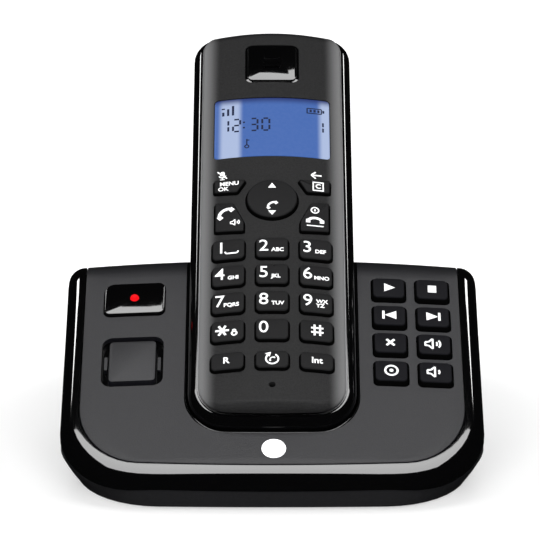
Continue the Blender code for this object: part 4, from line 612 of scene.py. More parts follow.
class Bench:
    """Makes meshes with Blender's operators."""

    def start(self) -> None:
        """Leaves edit mode and clears the selection."""
        if bpy.context.object is not None and bpy.context.object.mode != "OBJECT":
            bpy.ops.object.mode_set(mode="OBJECT")
        bpy.ops.object.select_all(action="DESELECT")

    def pick(self, *pieces: bpy.types.Object) -> None:
        """Selects the pieces and makes the first one active."""
        self.start()
        for piece in pieces:
            piece.select_set(True)
        bpy.context.view_layer.objects.active = pieces[0]

    def raised(self, piece: bpy.types.Object, levels: Sequence[Sequence[Vector]]) -> None:
        """Extrudes the whole mesh from level to level.

        Args:
            piece: a mesh whose vertices lie on the first level, in its order.
            levels: the points of each further level, in the same order.
        """
        self.pick(piece)
        known = {tuple(vertex.co): index for index, vertex in enumerate(piece.data.vertices)}
        bpy.ops.object.mode_set(mode="EDIT")
        bpy.ops.mesh.select_all(action="SELECT")
        for points in levels:
            bpy.ops.mesh.extrude_region_move()
            mesh = bmesh.from_edit_mesh(piece.data)
            fresh = {}
            for vertex in mesh.verts:
                if vertex.select:
                    index = known[tuple(vertex.co)]
                    vertex.co = points[index]
                    fresh[tuple(vertex.co)] = index
            known = fresh
            bmesh.update_edit_mesh(piece.data)
        self.close(piece)

    def close(self, piece: bpy.types.Object) -> None:
        """Makes the normals point outwards and leaves edit mode."""
        bpy.ops.mesh.select_all(action="SELECT")
        bpy.ops.mesh.normals_make_consistent(inside=False)
        bpy.ops.object.mode_set(mode="OBJECT")

    def layers(self, levels: Sequence[Level], slope: Slope) -> bpy.types.Object:
        """A solid between grids of rows, each with its height function."""
        grids = [[slope.place(x, s, height(x, s)) for row in rows for x, s in row] for rows, height in levels]
        rows = levels[0][0]
        self.start()
        bpy.ops.mesh.primitive_grid_add(x_subdivisions=len(rows[0]) - 1, y_subdivisions=len(rows) - 1, size=1)
        return self._through(grids)

    def stack(self, rings: Sequence[Ring], slope: Slope, fill: str = "NGON") -> bpy.types.Object:
        """A solid through rings of points, each with its height function."""
        loops = [[slope.place(x, s, height(x, s)) for x, s in points] for points, height in rings]
        self.start()
        bpy.ops.mesh.primitive_circle_add(vertices=len(loops[0]), fill_type=fill)
        return self._through(loops)

    def _through(self, levels: Sequence[Sequence[Vector]]) -> bpy.types.Object:
        piece = bpy.context.object
        for vertex, point in zip(piece.data.vertices, levels[0]):
            vertex.co = point
        self.raised(piece, levels[1:])
        return piece

    def hoop(self, rings: Sequence[Ring], slope: Slope) -> bpy.types.Object:
        """A closed band whose section runs through the rings and back to the first."""
        piece = self.stack([*rings, rings[0]], slope, fill="NOTHING")
        self.pick(piece)
        bpy.ops.object.mode_set(mode="EDIT")
        bpy.ops.mesh.select_all(action="SELECT")
        bpy.ops.mesh.remove_doubles(threshold=1e-6)
        self.close(piece)
        return piece

    def prism(self, points: Sequence[Point], low: float, high: float, slope: Slope) -> bpy.types.Object:
        """A straight solid between two heights of the slope's frame."""
        return self.stack([(points, flat(high)), (points, flat(low))], slope)

    def box(self, x: Point, y: Point, z: Point, slope: Slope = FLOOR) -> bpy.types.Object:
        """A box in the slope's frame."""
        outline = [(x[0], y[0]), (x[1], y[0]), (x[1], y[1]), (x[0], y[1])]
        return self.prism(outline, z[0], z[1], slope)

    def turned(
        self, centre: Point, profile: Sequence[Point], slope: Slope, segments: int = 32
    ) -> bpy.types.Object:
        """A turned solid from (radius, height) pairs."""
        return self.stack([(circle(centre, r, segments), flat(z)) for r, z in profile], slope)

    def joined(self, pieces: Sequence[bpy.types.Object]) -> bpy.types.Object:
        """All the pieces as one object."""
        self.pick(*pieces)
        if len(pieces) > 1:
            bpy.ops.object.join()
        return pieces[0]

    def change(
        self, piece: bpy.types.Object, others: Sequence[bpy.types.Object], operation: str = "DIFFERENCE"
    ) -> None:
        """Cuts or joins the piece with the others, which are used up."""
        other = self.joined(others)
        self.pick(piece)
        step = piece.modifiers.new("change", "BOOLEAN")
        step.operation = operation
        step.solver = "EXACT"
        step.use_self = len(others) > 1
        step.object = other
        bpy.ops.object.modifier_apply(modifier=step.name)
        bpy.data.objects.remove(other, do_unlink=True)

    def finish(
        self,
        piece: bpy.types.Object,
        name: str,
        look: Finish | KeyFinishWithPaintedShade | FaceFinishWithPaintedSheen | BacklitFinish,
        body: str,
        slot: Slot | None = None,
        nodes: Sequence[str] = (),
        angle: float = 34.0,
    ) -> bpy.types.Object:
        """Names, smooths and paints a piece, and sets it on its body.

        Args:
            piece: the mesh, in world coordinates.
            name: its name.
            look: its finish.
            body: the body that it rides on.
            slot: the record's slot of its finish; not used.
            nodes: the CAD nodes that it stands for.
            angle: edges sharper than this stay sharp, in degrees.
        """
        self.pick(piece)
        piece.name = name
        piece.data.name = name
        bpy.ops.object.shade_smooth_by_angle(angle=math.radians(angle))
        piece.data.materials.clear()
        piece.data.materials.append(look.material())
        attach(piece, str(getattr(body, "value", body)))
        if nodes:
            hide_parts(*nodes)
        log.info("%s: %d faces", name, len(piece.data.polygons))
        return piece


BENCH = Bench()


@dataclass(frozen=True)
class Words:
    """A printed text with its left end or its middle at a place on the key."""

    text: str
    size: float
    at: Point
    bold: float = 0.02
    align: str = "CENTER"

    def mesh(self, centre: Point, surface: Height, slope: Slope, thickness: float) -> bpy.types.Object:
        """The text as a thin solid on the surface."""
        BENCH.start()
        bpy.ops.object.text_add()
        words = bpy.context.object
        words.data.body = self.text
        words.data.size = self.size
        words.data.offset = self.bold * self.size
        words.data.extrude = 0.5
        words.data.align_x = self.align
        words.data.align_y = "CENTER"
        words.data.resolution_u = 5
        bpy.ops.object.convert(target="MESH")
        words = bpy.context.object
        for vertex in words.data.vertices:
            x = centre[0] + self.at[0] + vertex.co.x
            s = centre[1] + self.at[1] + vertex.co.y
            vertex.co = slope.place(x, s, surface(x, s) + (vertex.co.z + 0.5) * thickness)
        return words


@dataclass(frozen=True)
class Shape:
    """A printed shape from its outline's points."""

    points: tuple[Point, ...]

    def mesh(self, centre: Point, surface: Height, slope: Slope, thickness: float) -> bpy.types.Object:
        """The shape as a thin solid on the surface."""
        points = [(centre[0] + x, centre[1] + y) for x, y in self.points]
        lifted = lambda x, s: surface(x, s) + thickness
        return BENCH.stack([(points, lifted), (points, surface)], slope)


Mark = Words | Shape


def bar(x: float, y: float, width: float, height: float) -> Shape:
    """A bar with its middle at (x, y)."""
    w, h = width / 2, height / 2
    return Shape(((x - w, y - h), (x + w, y - h), (x + w, y + h), (x - w, y + h)))


def disc(x: float, y: float, radius: float) -> Shape:
    """A full disc."""
    return Shape(tuple(circle((x, y), radius, 20)))


def arc(x: float, y: float, radius: float, width: float, start: float, sweep: float) -> Shape:
    """A part of a ring, with its angles in degrees."""
    steps = max(4, int(abs(sweep) / 12))
    turns = [math.radians(start + sweep * step / steps) for step in range(steps + 1)]
    outer = [(x + (radius + width / 2) * math.cos(t), y + (radius + width / 2) * math.sin(t)) for t in turns]
    inner = [(x + (radius - width / 2) * math.cos(t), y + (radius - width / 2) * math.sin(t)) for t in turns]
    return Shape(tuple(outer + inner[::-1]))


def ring(x: float, y: float, radius: float, width: float) -> tuple[Shape, Shape]:
    """A whole ring, as two halves."""
    return arc(x, y, radius, width, 0, 180), arc(x, y, radius, width, 180, 180)


def stroke(points: Sequence[Point], width: float) -> list[Shape]:
    """A line of bars through the points."""
    shapes = []
    for near, far in zip(points, points[1:]):
        a, b = Vector(near), Vector(far)
        side = (b - a).normalized().orthogonal() * (width / 2)
        shapes.append(Shape(tuple(tuple(p) for p in (a - side, b - side, b + side, a + side))))
    return shapes


def receiver(x: float, y: float, size: float, turn: float) -> list[Shape]:
    """A telephone receiver: an arc with an ear at each end, turned by degrees."""
    width = size * 0.2
    radius = size * 0.62
    shapes = [arc(x, y - radius * 0.55, radius, width, 35, 110)]
    for side in (-1, 1):
        shapes.append(bar(x + side * size * 0.47, y - size * 0.02, size * 0.3, size * 0.3))
    cosine, sine = math.cos(math.radians(turn)), math.sin(math.radians(turn))

    def spun(point: Point) -> Point:
        dx, dy = point[0] - x, point[1] - y
        return (x + dx * cosine - dy * sine, y + dx * sine + dy * cosine)

    return [Shape(tuple(spun(point) for point in shape.points)) for shape in shapes]


def loudspeaker(x: float, y: float, size: float, waves: int) -> list[Shape]:
    """An outlined speaker with sound waves on its right."""
    line = size * 0.13
    body = [(-0.5, -0.16), (-0.28, -0.16), (0.02, -0.46), (0.02, 0.46), (-0.28, 0.16), (-0.5, 0.16),
            (-0.5, -0.2)]
    points = [(x + a * size, y + b * size) for a, b in body]
    shapes = stroke(points, line)
    for wave in range(waves):
        shapes.append(arc(x + size * 0.08, y, size * (0.25 + 0.22 * wave), line, -42, 84))
    return shapes


def print_marks(
    name: str, marks: Sequence[Mark], centre: Point, surface: Height, slope: Slope, body: str,
    look: Finish = Look.PRINT, slot: Slot | None = None, thickness: float = 0.00003,
) -> None:
    """Prints the marks on a surface as one piece that rides on a body."""
    piece = BENCH.joined([mark.mesh(centre, surface, slope, thickness) for mark in marks])
    BENCH.finish(piece, name, look, body, slot, angle=30.0)


@dataclass
class BaseSizes:
    """Sizes of the base that its pieces share."""

    plate: Outline = field(default_factory=lambda: Outline(
        0.0555, 0.0, PLATE.ridge_end + 0.0068, (0.017, 0.019), (0.005, 0.005), (0.0036, 0.0)))
    rim: Outline = field(default_factory=lambda: Outline(
        0.0611, -0.0069, PLATE.ridge_end + 0.0137, (0.024, 0.021), (0.010, 0.010), (0.0025, 0.0)))
    crown_radius: float = 0.714
    thickness: float = 0.0018
    deck: float = 0.0018
    rim_land: float = 0.001
    rim_drop: float = 0.004
    rim_ridge_drop: float = 0.003
    rim_deepest: float = 0.081
    rim_deep_run: float = 0.036
    rim_side_drop: float = 0.003
    rim_side: Point = (0.030, 0.056)
    skirt_inset: Point = (0.0028, 0.0034)
    skirt_depth: float = 0.008
    skirt_wall: float = 0.002
    columns: Point = (0.0346, 0.0475)
    key_rows: tuple[float, ...] = (0.0673, 0.0563, 0.0455, 0.0346)
    key_size: Point = (0.0100, 0.0090)
    key_top: Point = (0.0092, 0.0074)
    key_corner: float = 0.0013
    key_rise: float = 0.0016
    page: Point = (-0.04075, 0.0397)
    page_size: Point = (0.0138, 0.0156)
    groove: Point = (0.0175, 0.0183)
    page_corner: float = 0.0013
    window: Point = (-0.04075, 0.06385)
    window_size: Point = (0.0178, 0.0122)
    window_corners: tuple[float, ...] = (0.0018, 0.0018, 0.0030, 0.0018)
    window_rise: float = 0.001
    lamp: Point = (-0.04075, 0.0640)
    lamp_radius: float = 0.0013

    def crown(self, x: float) -> float:
        """Height of the plate at x over its middle line."""
        return math.sqrt(self.crown_radius**2 - x**2) - self.crown_radius

    def rim_edge(self, x: float, s: float) -> float:
        """Height of the rim's outer edge, which dips where it rounds the ridge."""
        run = self.rim_deep_run if s < self.rim_deepest else PLATE.ridge_end - self.rim_deepest
        share = min(abs(s - self.rim_deepest) / run, 1.0)
        ridge = self.rim_ridge_drop * math.cos(math.pi / 2 * share) ** 2
        start, full = self.rim_side
        across = min(max((abs(x) - start) / (full - start), 0.0), 1.0)
        fade = min(max((PLATE.ridge_end - s) / run, 0.0), 1.0)
        side = self.rim_side_drop * (1 - math.cos(math.pi * across)) / 2 * fade
        return -self.rim_drop - max(ridge, side)

    def keys(self) -> Iterable[tuple[str, Point]]:
        """Name and centre of the eight keys on the right."""
        names = (
            ("play_key", "stop_key"),
            ("previous_key", "next_key"),
            ("delete_key", "volume_up_key"),
            ("information_key", "volume_down_key"),
        )
        for row, pair in zip(self.key_rows, names):
            for column, name in zip(self.columns, pair):
                yield name, (column, row)


@dataclass
class HandSizes:
    """Sizes of the handset that its pieces and the cradle share."""

    outline: Outline = field(default_factory=lambda: Outline(
        0.0244, 0.0, 0.1555, (0.011, 0.0115), (0.0065, 0.0078), (0.001, 0.0018)))
    station: float = 0.078
    face_top: float = 0.0076
    face_radius: float = 0.085
    wall: float = 0.0014
    side_inset: float = 0.0031
    end_inset: float = 0.0027
    round_side: float = 0.0007
    round_end: float = 0.0026
    seam: float = 0.0036
    trim: float = 0.0004
    depth: float = 0.015
    corner_shrink: float = 0.25
    taper: Point = (0.008, 0.009)
    curve: tuple[Point, ...] = (
        (0.08, 0.004), (0.17, 0.018), (0.27, 0.045), (0.40, 0.105), (0.53, 0.19), (0.64, 0.285),
        (0.74, 0.39), (0.83, 0.515), (0.9, 0.65), (0.95, 0.77), (0.985, 0.89), (1.0, 1.0),
    )
    shoulder: float = 0.0022
    shoulder_curve: tuple[Point, ...] = (
        (1.0, 1.0), (0.9, 0.76), (0.78, 0.57), (0.66, 0.42), (0.5, 0.245), (0.33, 0.1), (0.16, 0.025),
    )
    play: float = 0.0005
    cradle_wall: float = 0.0005
    cradle_floor: float = 0.002
    key_rise: float = 0.0013
    nav: Point = (0.0, 0.081)
    nav_radius: float = 0.0076
    display: tuple[float, float, float] = (0.0176, 0.0995, 0.1236)
    ear: Point = (0.0, 0.1383)
    contact_x: float = 0.007
    contact_s: float = 0.014

    def face(self, x: float) -> float:
        """Height of the crowned face over the widest line."""
        return self.face_top + math.sqrt(self.face_radius**2 - x**2) - self.face_radius

    def rows(self, side: float, ends: float) -> Rows:
        """Rows of the outline moved inwards."""
        return self.outline.grown(-side, -ends).rows((self.station * 0.6, self.station, self.station * 1.4))

    def rear_rows(self, side: float, ends: float) -> Rows:
        """Rows of the outline moved inwards, with corners at the head that stay round."""
        insets = zip(self.outline.back, (side, ends))
        corner = tuple(radius - self.corner_shrink * inset for radius, inset in insets)
        outline = replace(self.outline.grown(-side, -ends), back=corner)
        return outline.rows((self.station * 0.6, self.station, self.station * 1.4))

    def rear(self, grow: float = 0.0) -> list[Level]:
        """Levels of the rear from the widest line down, moved outwards by grow."""
        levels = [(self.rows(-grow, -grow), flat(0.0))]
        for depth, inset in self.curve:
            rows = self.rear_rows(self.taper[0] * inset - grow, self.taper[1] * inset - grow)
            levels.append((rows, flat(-(self.depth + grow) * depth)))
        return levels

    def tangent(self, x: float, lift: float) -> Height:
        """A plane that touches the face at x, moved up by lift."""
        drop = math.sqrt(self.face_radius**2 - x**2)
        return lambda across, s: self.face(x) - x / drop * (across - x) + lift

    def channel(self, side: float) -> bpy.types.Object:
        """Cutter for the straight-sided channel that the handset lies in."""
        long = replace(self.outline.grown(side), end=0.3, back=(0.001, 0.001), bow=(self.outline.bow[0], 0.0))
        bottom = -self.depth - self.play - self.cradle_floor - GAP
        return BENCH.prism(long.ring(), bottom, 0.08, HAND)


@dataclass
class BaseHousing:
    """The cases of the base, the plate and the cradle."""

    sizes: BaseSizes
    hand: HandSizes
    case_half: float = 0.0608
    case_front: float = -0.069957
    case_back: float = 0.01025
    case_wall: float = 0.0022
    case_low: float = 0.001
    case_floor: float = 0.0024
    foot_inset: Point = (0.0034, 0.0018)
    foot_corner: Point = (0.025, 0.038)
    taper_height: float = 0.013
    foot_depth: float = 0.008
    foot_half: float = 0.042
    sill: float = 0.0226

    def build(self) -> None:
        """Makes every piece of the housing."""
        self.build_rim()
        self.build_plate()
        self.build_case()
        self.build_cradle()
        self.build_badge()

    def key_cutters(self, low: float, high: float) -> list[bpy.types.Object]:
        """Cutters for the eight keys."""
        sizes = self.sizes
        return [
            BENCH.prism(offset(rounded(centre, sizes.key_size, sizes.key_corner), GAP), low, high, PLATE)
            for _, centre in sizes.keys()
        ]

    def build_rim(self) -> None:
        """The gloss rim, with the deck that the plate lies on."""
        sizes = self.sizes
        stations = PLATE.stations(14)
        lip = sizes.plate.grown(sizes.rim_land)
        inner = sizes.plate.grown(GAP)
        rings: list[Ring] = [
            (inner.ring(stations), over(sizes.crown, -sizes.thickness - GAP * 2)),
            (inner.ring(stations), over(sizes.crown, -0.00015)),
            (inner.grown(0.0001).ring(stations), over(sizes.crown, 0.0)),
            (lip.ring(stations), over(sizes.crown, 0.0)),
        ]
        for share in (0.12, 0.24, 0.36, 0.48, 0.6, 0.7, 0.79, 0.86, 0.92, 0.96, 0.985):
            drop = 1 - math.sqrt(1 - share**2)
            rings.append((lip.blended(sizes.rim, share).ring(stations), self.rim_height(drop)))
        rings.append((sizes.rim.ring(stations), lambda x, s: sizes.rim_edge(x, s) + 0.0002))
        rings.append((sizes.rim.grown(-0.0002).ring(stations), sizes.rim_edge))
        skirt = sizes.rim.grown(-sizes.skirt_inset[0], -sizes.skirt_inset[1])
        rings.append((skirt.ring(stations), sizes.rim_edge))
        rings.append((skirt.ring(stations), flat(-sizes.skirt_depth)))
        hollow = skirt.grown(-sizes.skirt_wall)
        rings.append((hollow.ring(stations), flat(-sizes.skirt_depth)))
        rim = BENCH.hoop(rings, PLATE)

        top = sizes.thickness + GAP
        rows = inner.rows(stations)
        levels = [(rows, over(sizes.crown, -top)), (rows, over(sizes.crown, -top - sizes.deck))]
        deck = BENCH.layers(levels, PLATE)
        holes = self.key_cutters(-top - sizes.deck * 2, OVERRUN)
        page = offset(rounded(sizes.page, sizes.page_size, sizes.page_corner), GAP)
        holes.append(BENCH.prism(page, -top - sizes.deck * 2, OVERRUN, PLATE))
        BENCH.change(deck, holes)
        BENCH.change(deck, [self.hand.channel(self.hand.play + self.hand.cradle_wall + GAP)])
        piece = BENCH.joined([rim, deck])
        BENCH.finish(piece, "gloss_rim", Look.GLOSS, Body.BASE, Slot.GLOSS, ["base_top_case"])

    def rim_height(self, drop: float) -> Height:
        """Height of the rim where it has dropped by this share."""
        sizes = self.sizes
        return lambda x, s: sizes.crown(x) * (1 - drop) + sizes.rim_edge(x, s) * drop

    def build_plate(self) -> None:
        """The matte plate that rolls over the ridge."""
        sizes = self.sizes
        rows = [sizes.plate.grown(-share).rows(PLATE.stations(14)) for share in (0.0004, 0.0001, 0.0)]
        levels = [
            (rows[0], over(sizes.crown, 0.0)),
            (rows[1], over(sizes.crown, -0.0001)),
            (rows[2], over(sizes.crown, -0.0004)),
            (rows[2], over(sizes.crown, -sizes.thickness)),
        ]
        plate = BENCH.layers(levels, PLATE)
        low = -sizes.thickness - OVERRUN * 2
        holes = self.key_cutters(low, OVERRUN)
        groove = rounded(sizes.page, sizes.groove, sizes.page_corner + GAP * 5)
        window = rounded(sizes.window, sizes.window_size, sizes.window_corners)
        holes += [BENCH.prism(offset(outline, GAP), low, OVERRUN, PLATE) for outline in (groove, window)]
        BENCH.change(plate, holes)
        BENCH.change(plate, [self.hand.channel(self.hand.play + self.hand.cradle_wall + GAP / 5)])
        BENCH.finish(plate, "matte_plate", Look.PLATE, Body.BASE, Slot.CHARCOAL, ["base_top_plate"])

    def above(self, surface: Height) -> bpy.types.Object:
        """Cutter for all the room over a surface that follows the plate's profile."""
        wide = Outline(0.075, -0.03, self.sizes.rim.end, (0.001, 0.001), (0.001, 0.001), columns=20, steps=1)
        rows = wide.rows([0.0, *PLATE.stations(18)])
        return BENCH.layers([(rows, flat(0.08)), (rows, surface)], PLATE)

    def case_levels(self, base: float, inset: float) -> list[Ring]:
        """Rings of the bottom case from the top down, with its tucked-in foot."""
        cosine = math.cos(PLATE.angle)
        outline = Outline(
            self.case_half, self.case_front, self.case_back, (0.024, 0.021 * cosine), (0.003, 0.003),
            (0.0025 * cosine, 0.0),
        )
        foot = replace(outline.grown(-self.foot_inset[0], -self.foot_inset[1]), front=self.foot_corner)
        rings: list[Ring] = [(outline.grown(-inset).ring(), flat(0.07))]
        for share in (1.0, 0.85, 0.7, 0.55, 0.42, 0.3, 0.2, 0.1, 0.03, 0.0):
            points = outline.blended(foot, (1 - share) ** 1.25).grown(-inset).ring()
            rings.append((points, flat(base + (self.taper_height - base) * share)))
        return rings

    def build_case(self) -> None:
        """The matte bottom case."""
        case = BENCH.stack(self.case_levels(self.case_low, 0.0), FLOOR)
        hollow = self.case_levels(self.case_low + self.case_floor, self.case_wall)
        hollow[0] = (hollow[0][0], flat(0.08))
        BENCH.change(case, [BENCH.stack(hollow, FLOOR)])
        BENCH.change(case, [self.above(lambda x, s: self.sizes.rim_edge(x, s) - GAP)])
        half = self.sizes.rim.half_width - self.sizes.skirt_inset[0] + GAP * 1.5
        notch = BENCH.box((-half, half), (self.case_back - 0.0102, self.case_back + 0.002), (self.sill, 0.1))
        BENCH.change(case, [notch])
        openings = [
            BENCH.box((-0.0005, 0.0125), (self.case_back - 0.0042, self.case_back + 0.002), (0.009, 0.0212)),
            BENCH.box((0.0232, 0.0328), (self.case_back - 0.0042, self.case_back + 0.002), (0.009, 0.0196)),
        ]
        for y in (-0.05756, self.case_back - 0.0111):
            outline = rounded((0.0, y), (2 * self.foot_half, self.foot_depth), self.foot_depth / 2 - GAP)
            openings.append(BENCH.prism(offset(outline, GAP), 0.0, self.case_low + 0.0008, FLOOR))
        for slot in range(5):
            y = -0.02456 + (slot - 2) * 0.0036
            openings.append(BENCH.prism(rounded((-0.038, y), (0.016, 0.0016), 0.0008), 0.0, 0.006, FLOOR))
        for x in (-0.050, 0.050):
            profile = [(0.0016, 0.006), (0.0016, 0.0022), (0.0029, 0.0022), (0.0029, 0.0)]
            openings.append(BENCH.turned((x, self.case_back - 0.0100), profile, FLOOR, 24))
        BENCH.change(case, openings)
        BENCH.finish(case, "matte_case", Look.SATIN, Body.BASE, Slot.SATIN, ["base_bottom_case"])

    def build_cradle(self) -> None:
        """The gloss insert that holds the handset."""
        hand = self.hand
        side = hand.play + hand.cradle_wall
        outline = replace(
            hand.outline.grown(side), end=0.0918, back=(0.0006, 0.0006), bow=(hand.outline.bow[0], 0.0)
        )
        bottom = -hand.depth - hand.play - hand.cradle_floor
        rows = outline.rows((0.03, 0.05, 0.07))
        cradle = BENCH.layers([(rows, flat(self.sizes.rim_drop)), (rows, flat(bottom))], HAND)
        BENCH.change(cradle, [self.above(over(self.sizes.crown, 0.0))])
        levels = hand.rear(hand.play)
        BENCH.change(cradle, [BENCH.layers([(levels[0][0], flat(0.08)), *levels], HAND)])
        bores = [
            BENCH.turned((x, hand.contact_s), [(0.00155, -hand.depth + OVERRUN), (0.00155,
                                                                                  bottom - OVERRUN)], HAND)
            for x in (-hand.contact_x, hand.contact_x)
        ]
        BENCH.change(cradle, bores)
        BENCH.finish(cradle, "gloss_cradle", Look.GLOSS, Body.BASE, Slot.GLOSS, ["handset_cradle"])

    def build_badge(self) -> None:
        """A plain disc in front of the cradle."""
        crown = over(self.sizes.crown, 0.0)
        print_marks("plate_disc", [disc(0.0, 0.0, 0.0035)], (0.00045, 0.00573), crown, PLATE,
                    Body.BASE, Look.BADGE, thickness=0.0001)


class BaseMark(Enum):
    """What is printed on each key of the base."""

    play_key = (Shape(((-0.0013, -0.0016), (0.0019, 0.0), (-0.0013, 0.0016))),)
    stop_key = (bar(0.0, 0.0, 0.0025, 0.0027),)
    previous_key = (
        bar(-0.0018, 0.0, 0.0007, 0.0031), Shape(((0.0020, -0.0016), (0.0020, 0.0016), (-0.0014, 0.0))),
    )
    next_key = (
        bar(0.0018, 0.0, 0.0007, 0.0031), Shape(((-0.0020, -0.0016), (0.0014, 0.0), (-0.0020, 0.0016))),
    )
    delete_key = (
        Shape(((-0.0014, -0.0009), (-0.0009, -0.0014), (0.0014, 0.0009), (0.0009, 0.0014))),
        Shape(((-0.0009, 0.0014), (-0.0014, 0.0009), (0.0009, -0.0014), (0.0014, -0.0009))),
    )
    volume_up_key = tuple(loudspeaker(-0.0006, 0.0, 0.0042, 2))
    information_key = (*ring(0.0, 0.0, 0.0018, 0.0006), disc(0.0, 0.0, 0.0006))
    volume_down_key = tuple(loudspeaker(-0.0003, 0.0, 0.0042, 1))


@dataclass
class BaseControls:
    """Keys, lamp and window of the base."""

    sizes: BaseSizes

    def build(self) -> None:
        """Makes the controls and prints their marks."""
        for name, centre in self.sizes.keys():
            self.build_key(name, centre)
        self.build_page_key()
        self.build_window()

    def build_key(self, name: str, centre: Point) -> None:
        """One raised key with its print."""
        sizes = self.sizes
        body = rounded(centre, sizes.key_size, sizes.key_corner)
        top = rounded(centre, sizes.key_top, sizes.key_corner)
        hold = -sizes.thickness - GAP - sizes.deck - GAP
        rings = [
            (offset(top, -0.0003), over(sizes.crown, sizes.key_rise)),
            (offset(top, -0.0001), over(sizes.crown, sizes.key_rise - 0.00006)),
            (top, over(sizes.crown, sizes.key_rise - 0.00022)),
            (body, over(sizes.crown, 0.0)),
            (body, over(sizes.crown, hold)),
            (offset(body, 0.0007), over(sizes.crown, hold)),
            (offset(body, 0.0007), over(sizes.crown, hold - 0.0008)),
        ]
        key = BENCH.stack(rings, PLATE)
        BENCH.finish(key, f"{name}_cap", Look.BASE_KEY, name, Slot.KEY, [name])
        surface = over(sizes.crown, sizes.key_rise + 0.00001)
        print_marks(f"{name}_print", BaseMark[name].value, centre, surface, PLATE, name)

    def build_page_key(self) -> None:
        """The paging key in its groove."""
        sizes = self.sizes
        body = rounded(sizes.page, sizes.page_size, sizes.page_corner)
        hold = -sizes.thickness - GAP - sizes.deck - GAP
        rings = [
            (offset(body, -0.0006), over(sizes.crown, 0.0003)),
            (offset(body, -0.0002), over(sizes.crown, 0.0002)),
            (body, over(sizes.crown, -0.0002)),
            (body, over(sizes.crown, hold)),
            (offset(body, 0.0007), over(sizes.crown, hold)),
            (offset(body, 0.0007), over(sizes.crown, hold - 0.0008)),
        ]
        BENCH.finish(BENCH.stack(rings, PLATE), "page_key_cap", Look.PLATE, "page_key", Slot.KEY,
                     ["page_key"])
        bridges = []
        for side in (-1, 1):
            x = sizes.page[0] + side * (sizes.page_size[0] / 2 + 0.0009)
            outline = rounded((x, sizes.page[1]), (0.0009, 0.0050), 0.0003, 4)
            bridges.append(BENCH.prism(outline, -sizes.thickness - GAP - 0.0021, -0.0022, PLATE))
        BENCH.finish(BENCH.joined(bridges), "page_key_bridges", Look.PLATE, Body.BASE, Slot.CHARCOAL)

    def build_window(self) -> None:
        """The gloss window with its red lamp."""
        sizes = self.sizes
        outline = rounded(sizes.window, sizes.window_size, sizes.window_corners)
        rise = sizes.window_rise
        rings = [
            (offset(outline, -0.0004), over(sizes.crown, rise)),
            (offset(outline, -0.00025), over(sizes.crown, rise - 0.00003)),
            (offset(outline, -0.0001), over(sizes.crown, rise - 0.00015)),
            (offset(outline, -0.00005), over(sizes.crown, rise - 0.0003)),
            (outline, over(sizes.crown, -0.0002)),
            (outline, over(sizes.crown, -sizes.thickness)),
        ]
        window = BENCH.stack(rings, PLATE)
        BENCH.change(window, [BENCH.prism(circle(sizes.lamp, sizes.lamp_radius + 0.0001), -0.005,
                                          OVERRUN, PLATE)])
        BENCH.finish(window, "gloss_window", Look.GLOSS, Body.BASE, Slot.GLOSS, ["message_window"])
        top = sizes.crown(sizes.lamp[0]) + rise
        profile = [(0.0003, top + 0.0009), (0.0007, top + 0.00075), (0.0010, top + 0.00045),
                   (0.0012, top + 0.0001), (sizes.lamp_radius, top - 0.0003), (sizes.lamp_radius, -0.0086)]
        lamp = BENCH.turned(sizes.lamp, profile, PLATE, 32)
        BENCH.finish(lamp, "lamp_light", Look.LAMP, Body.BASE, Slot.LAMP, ["message_lamp"])


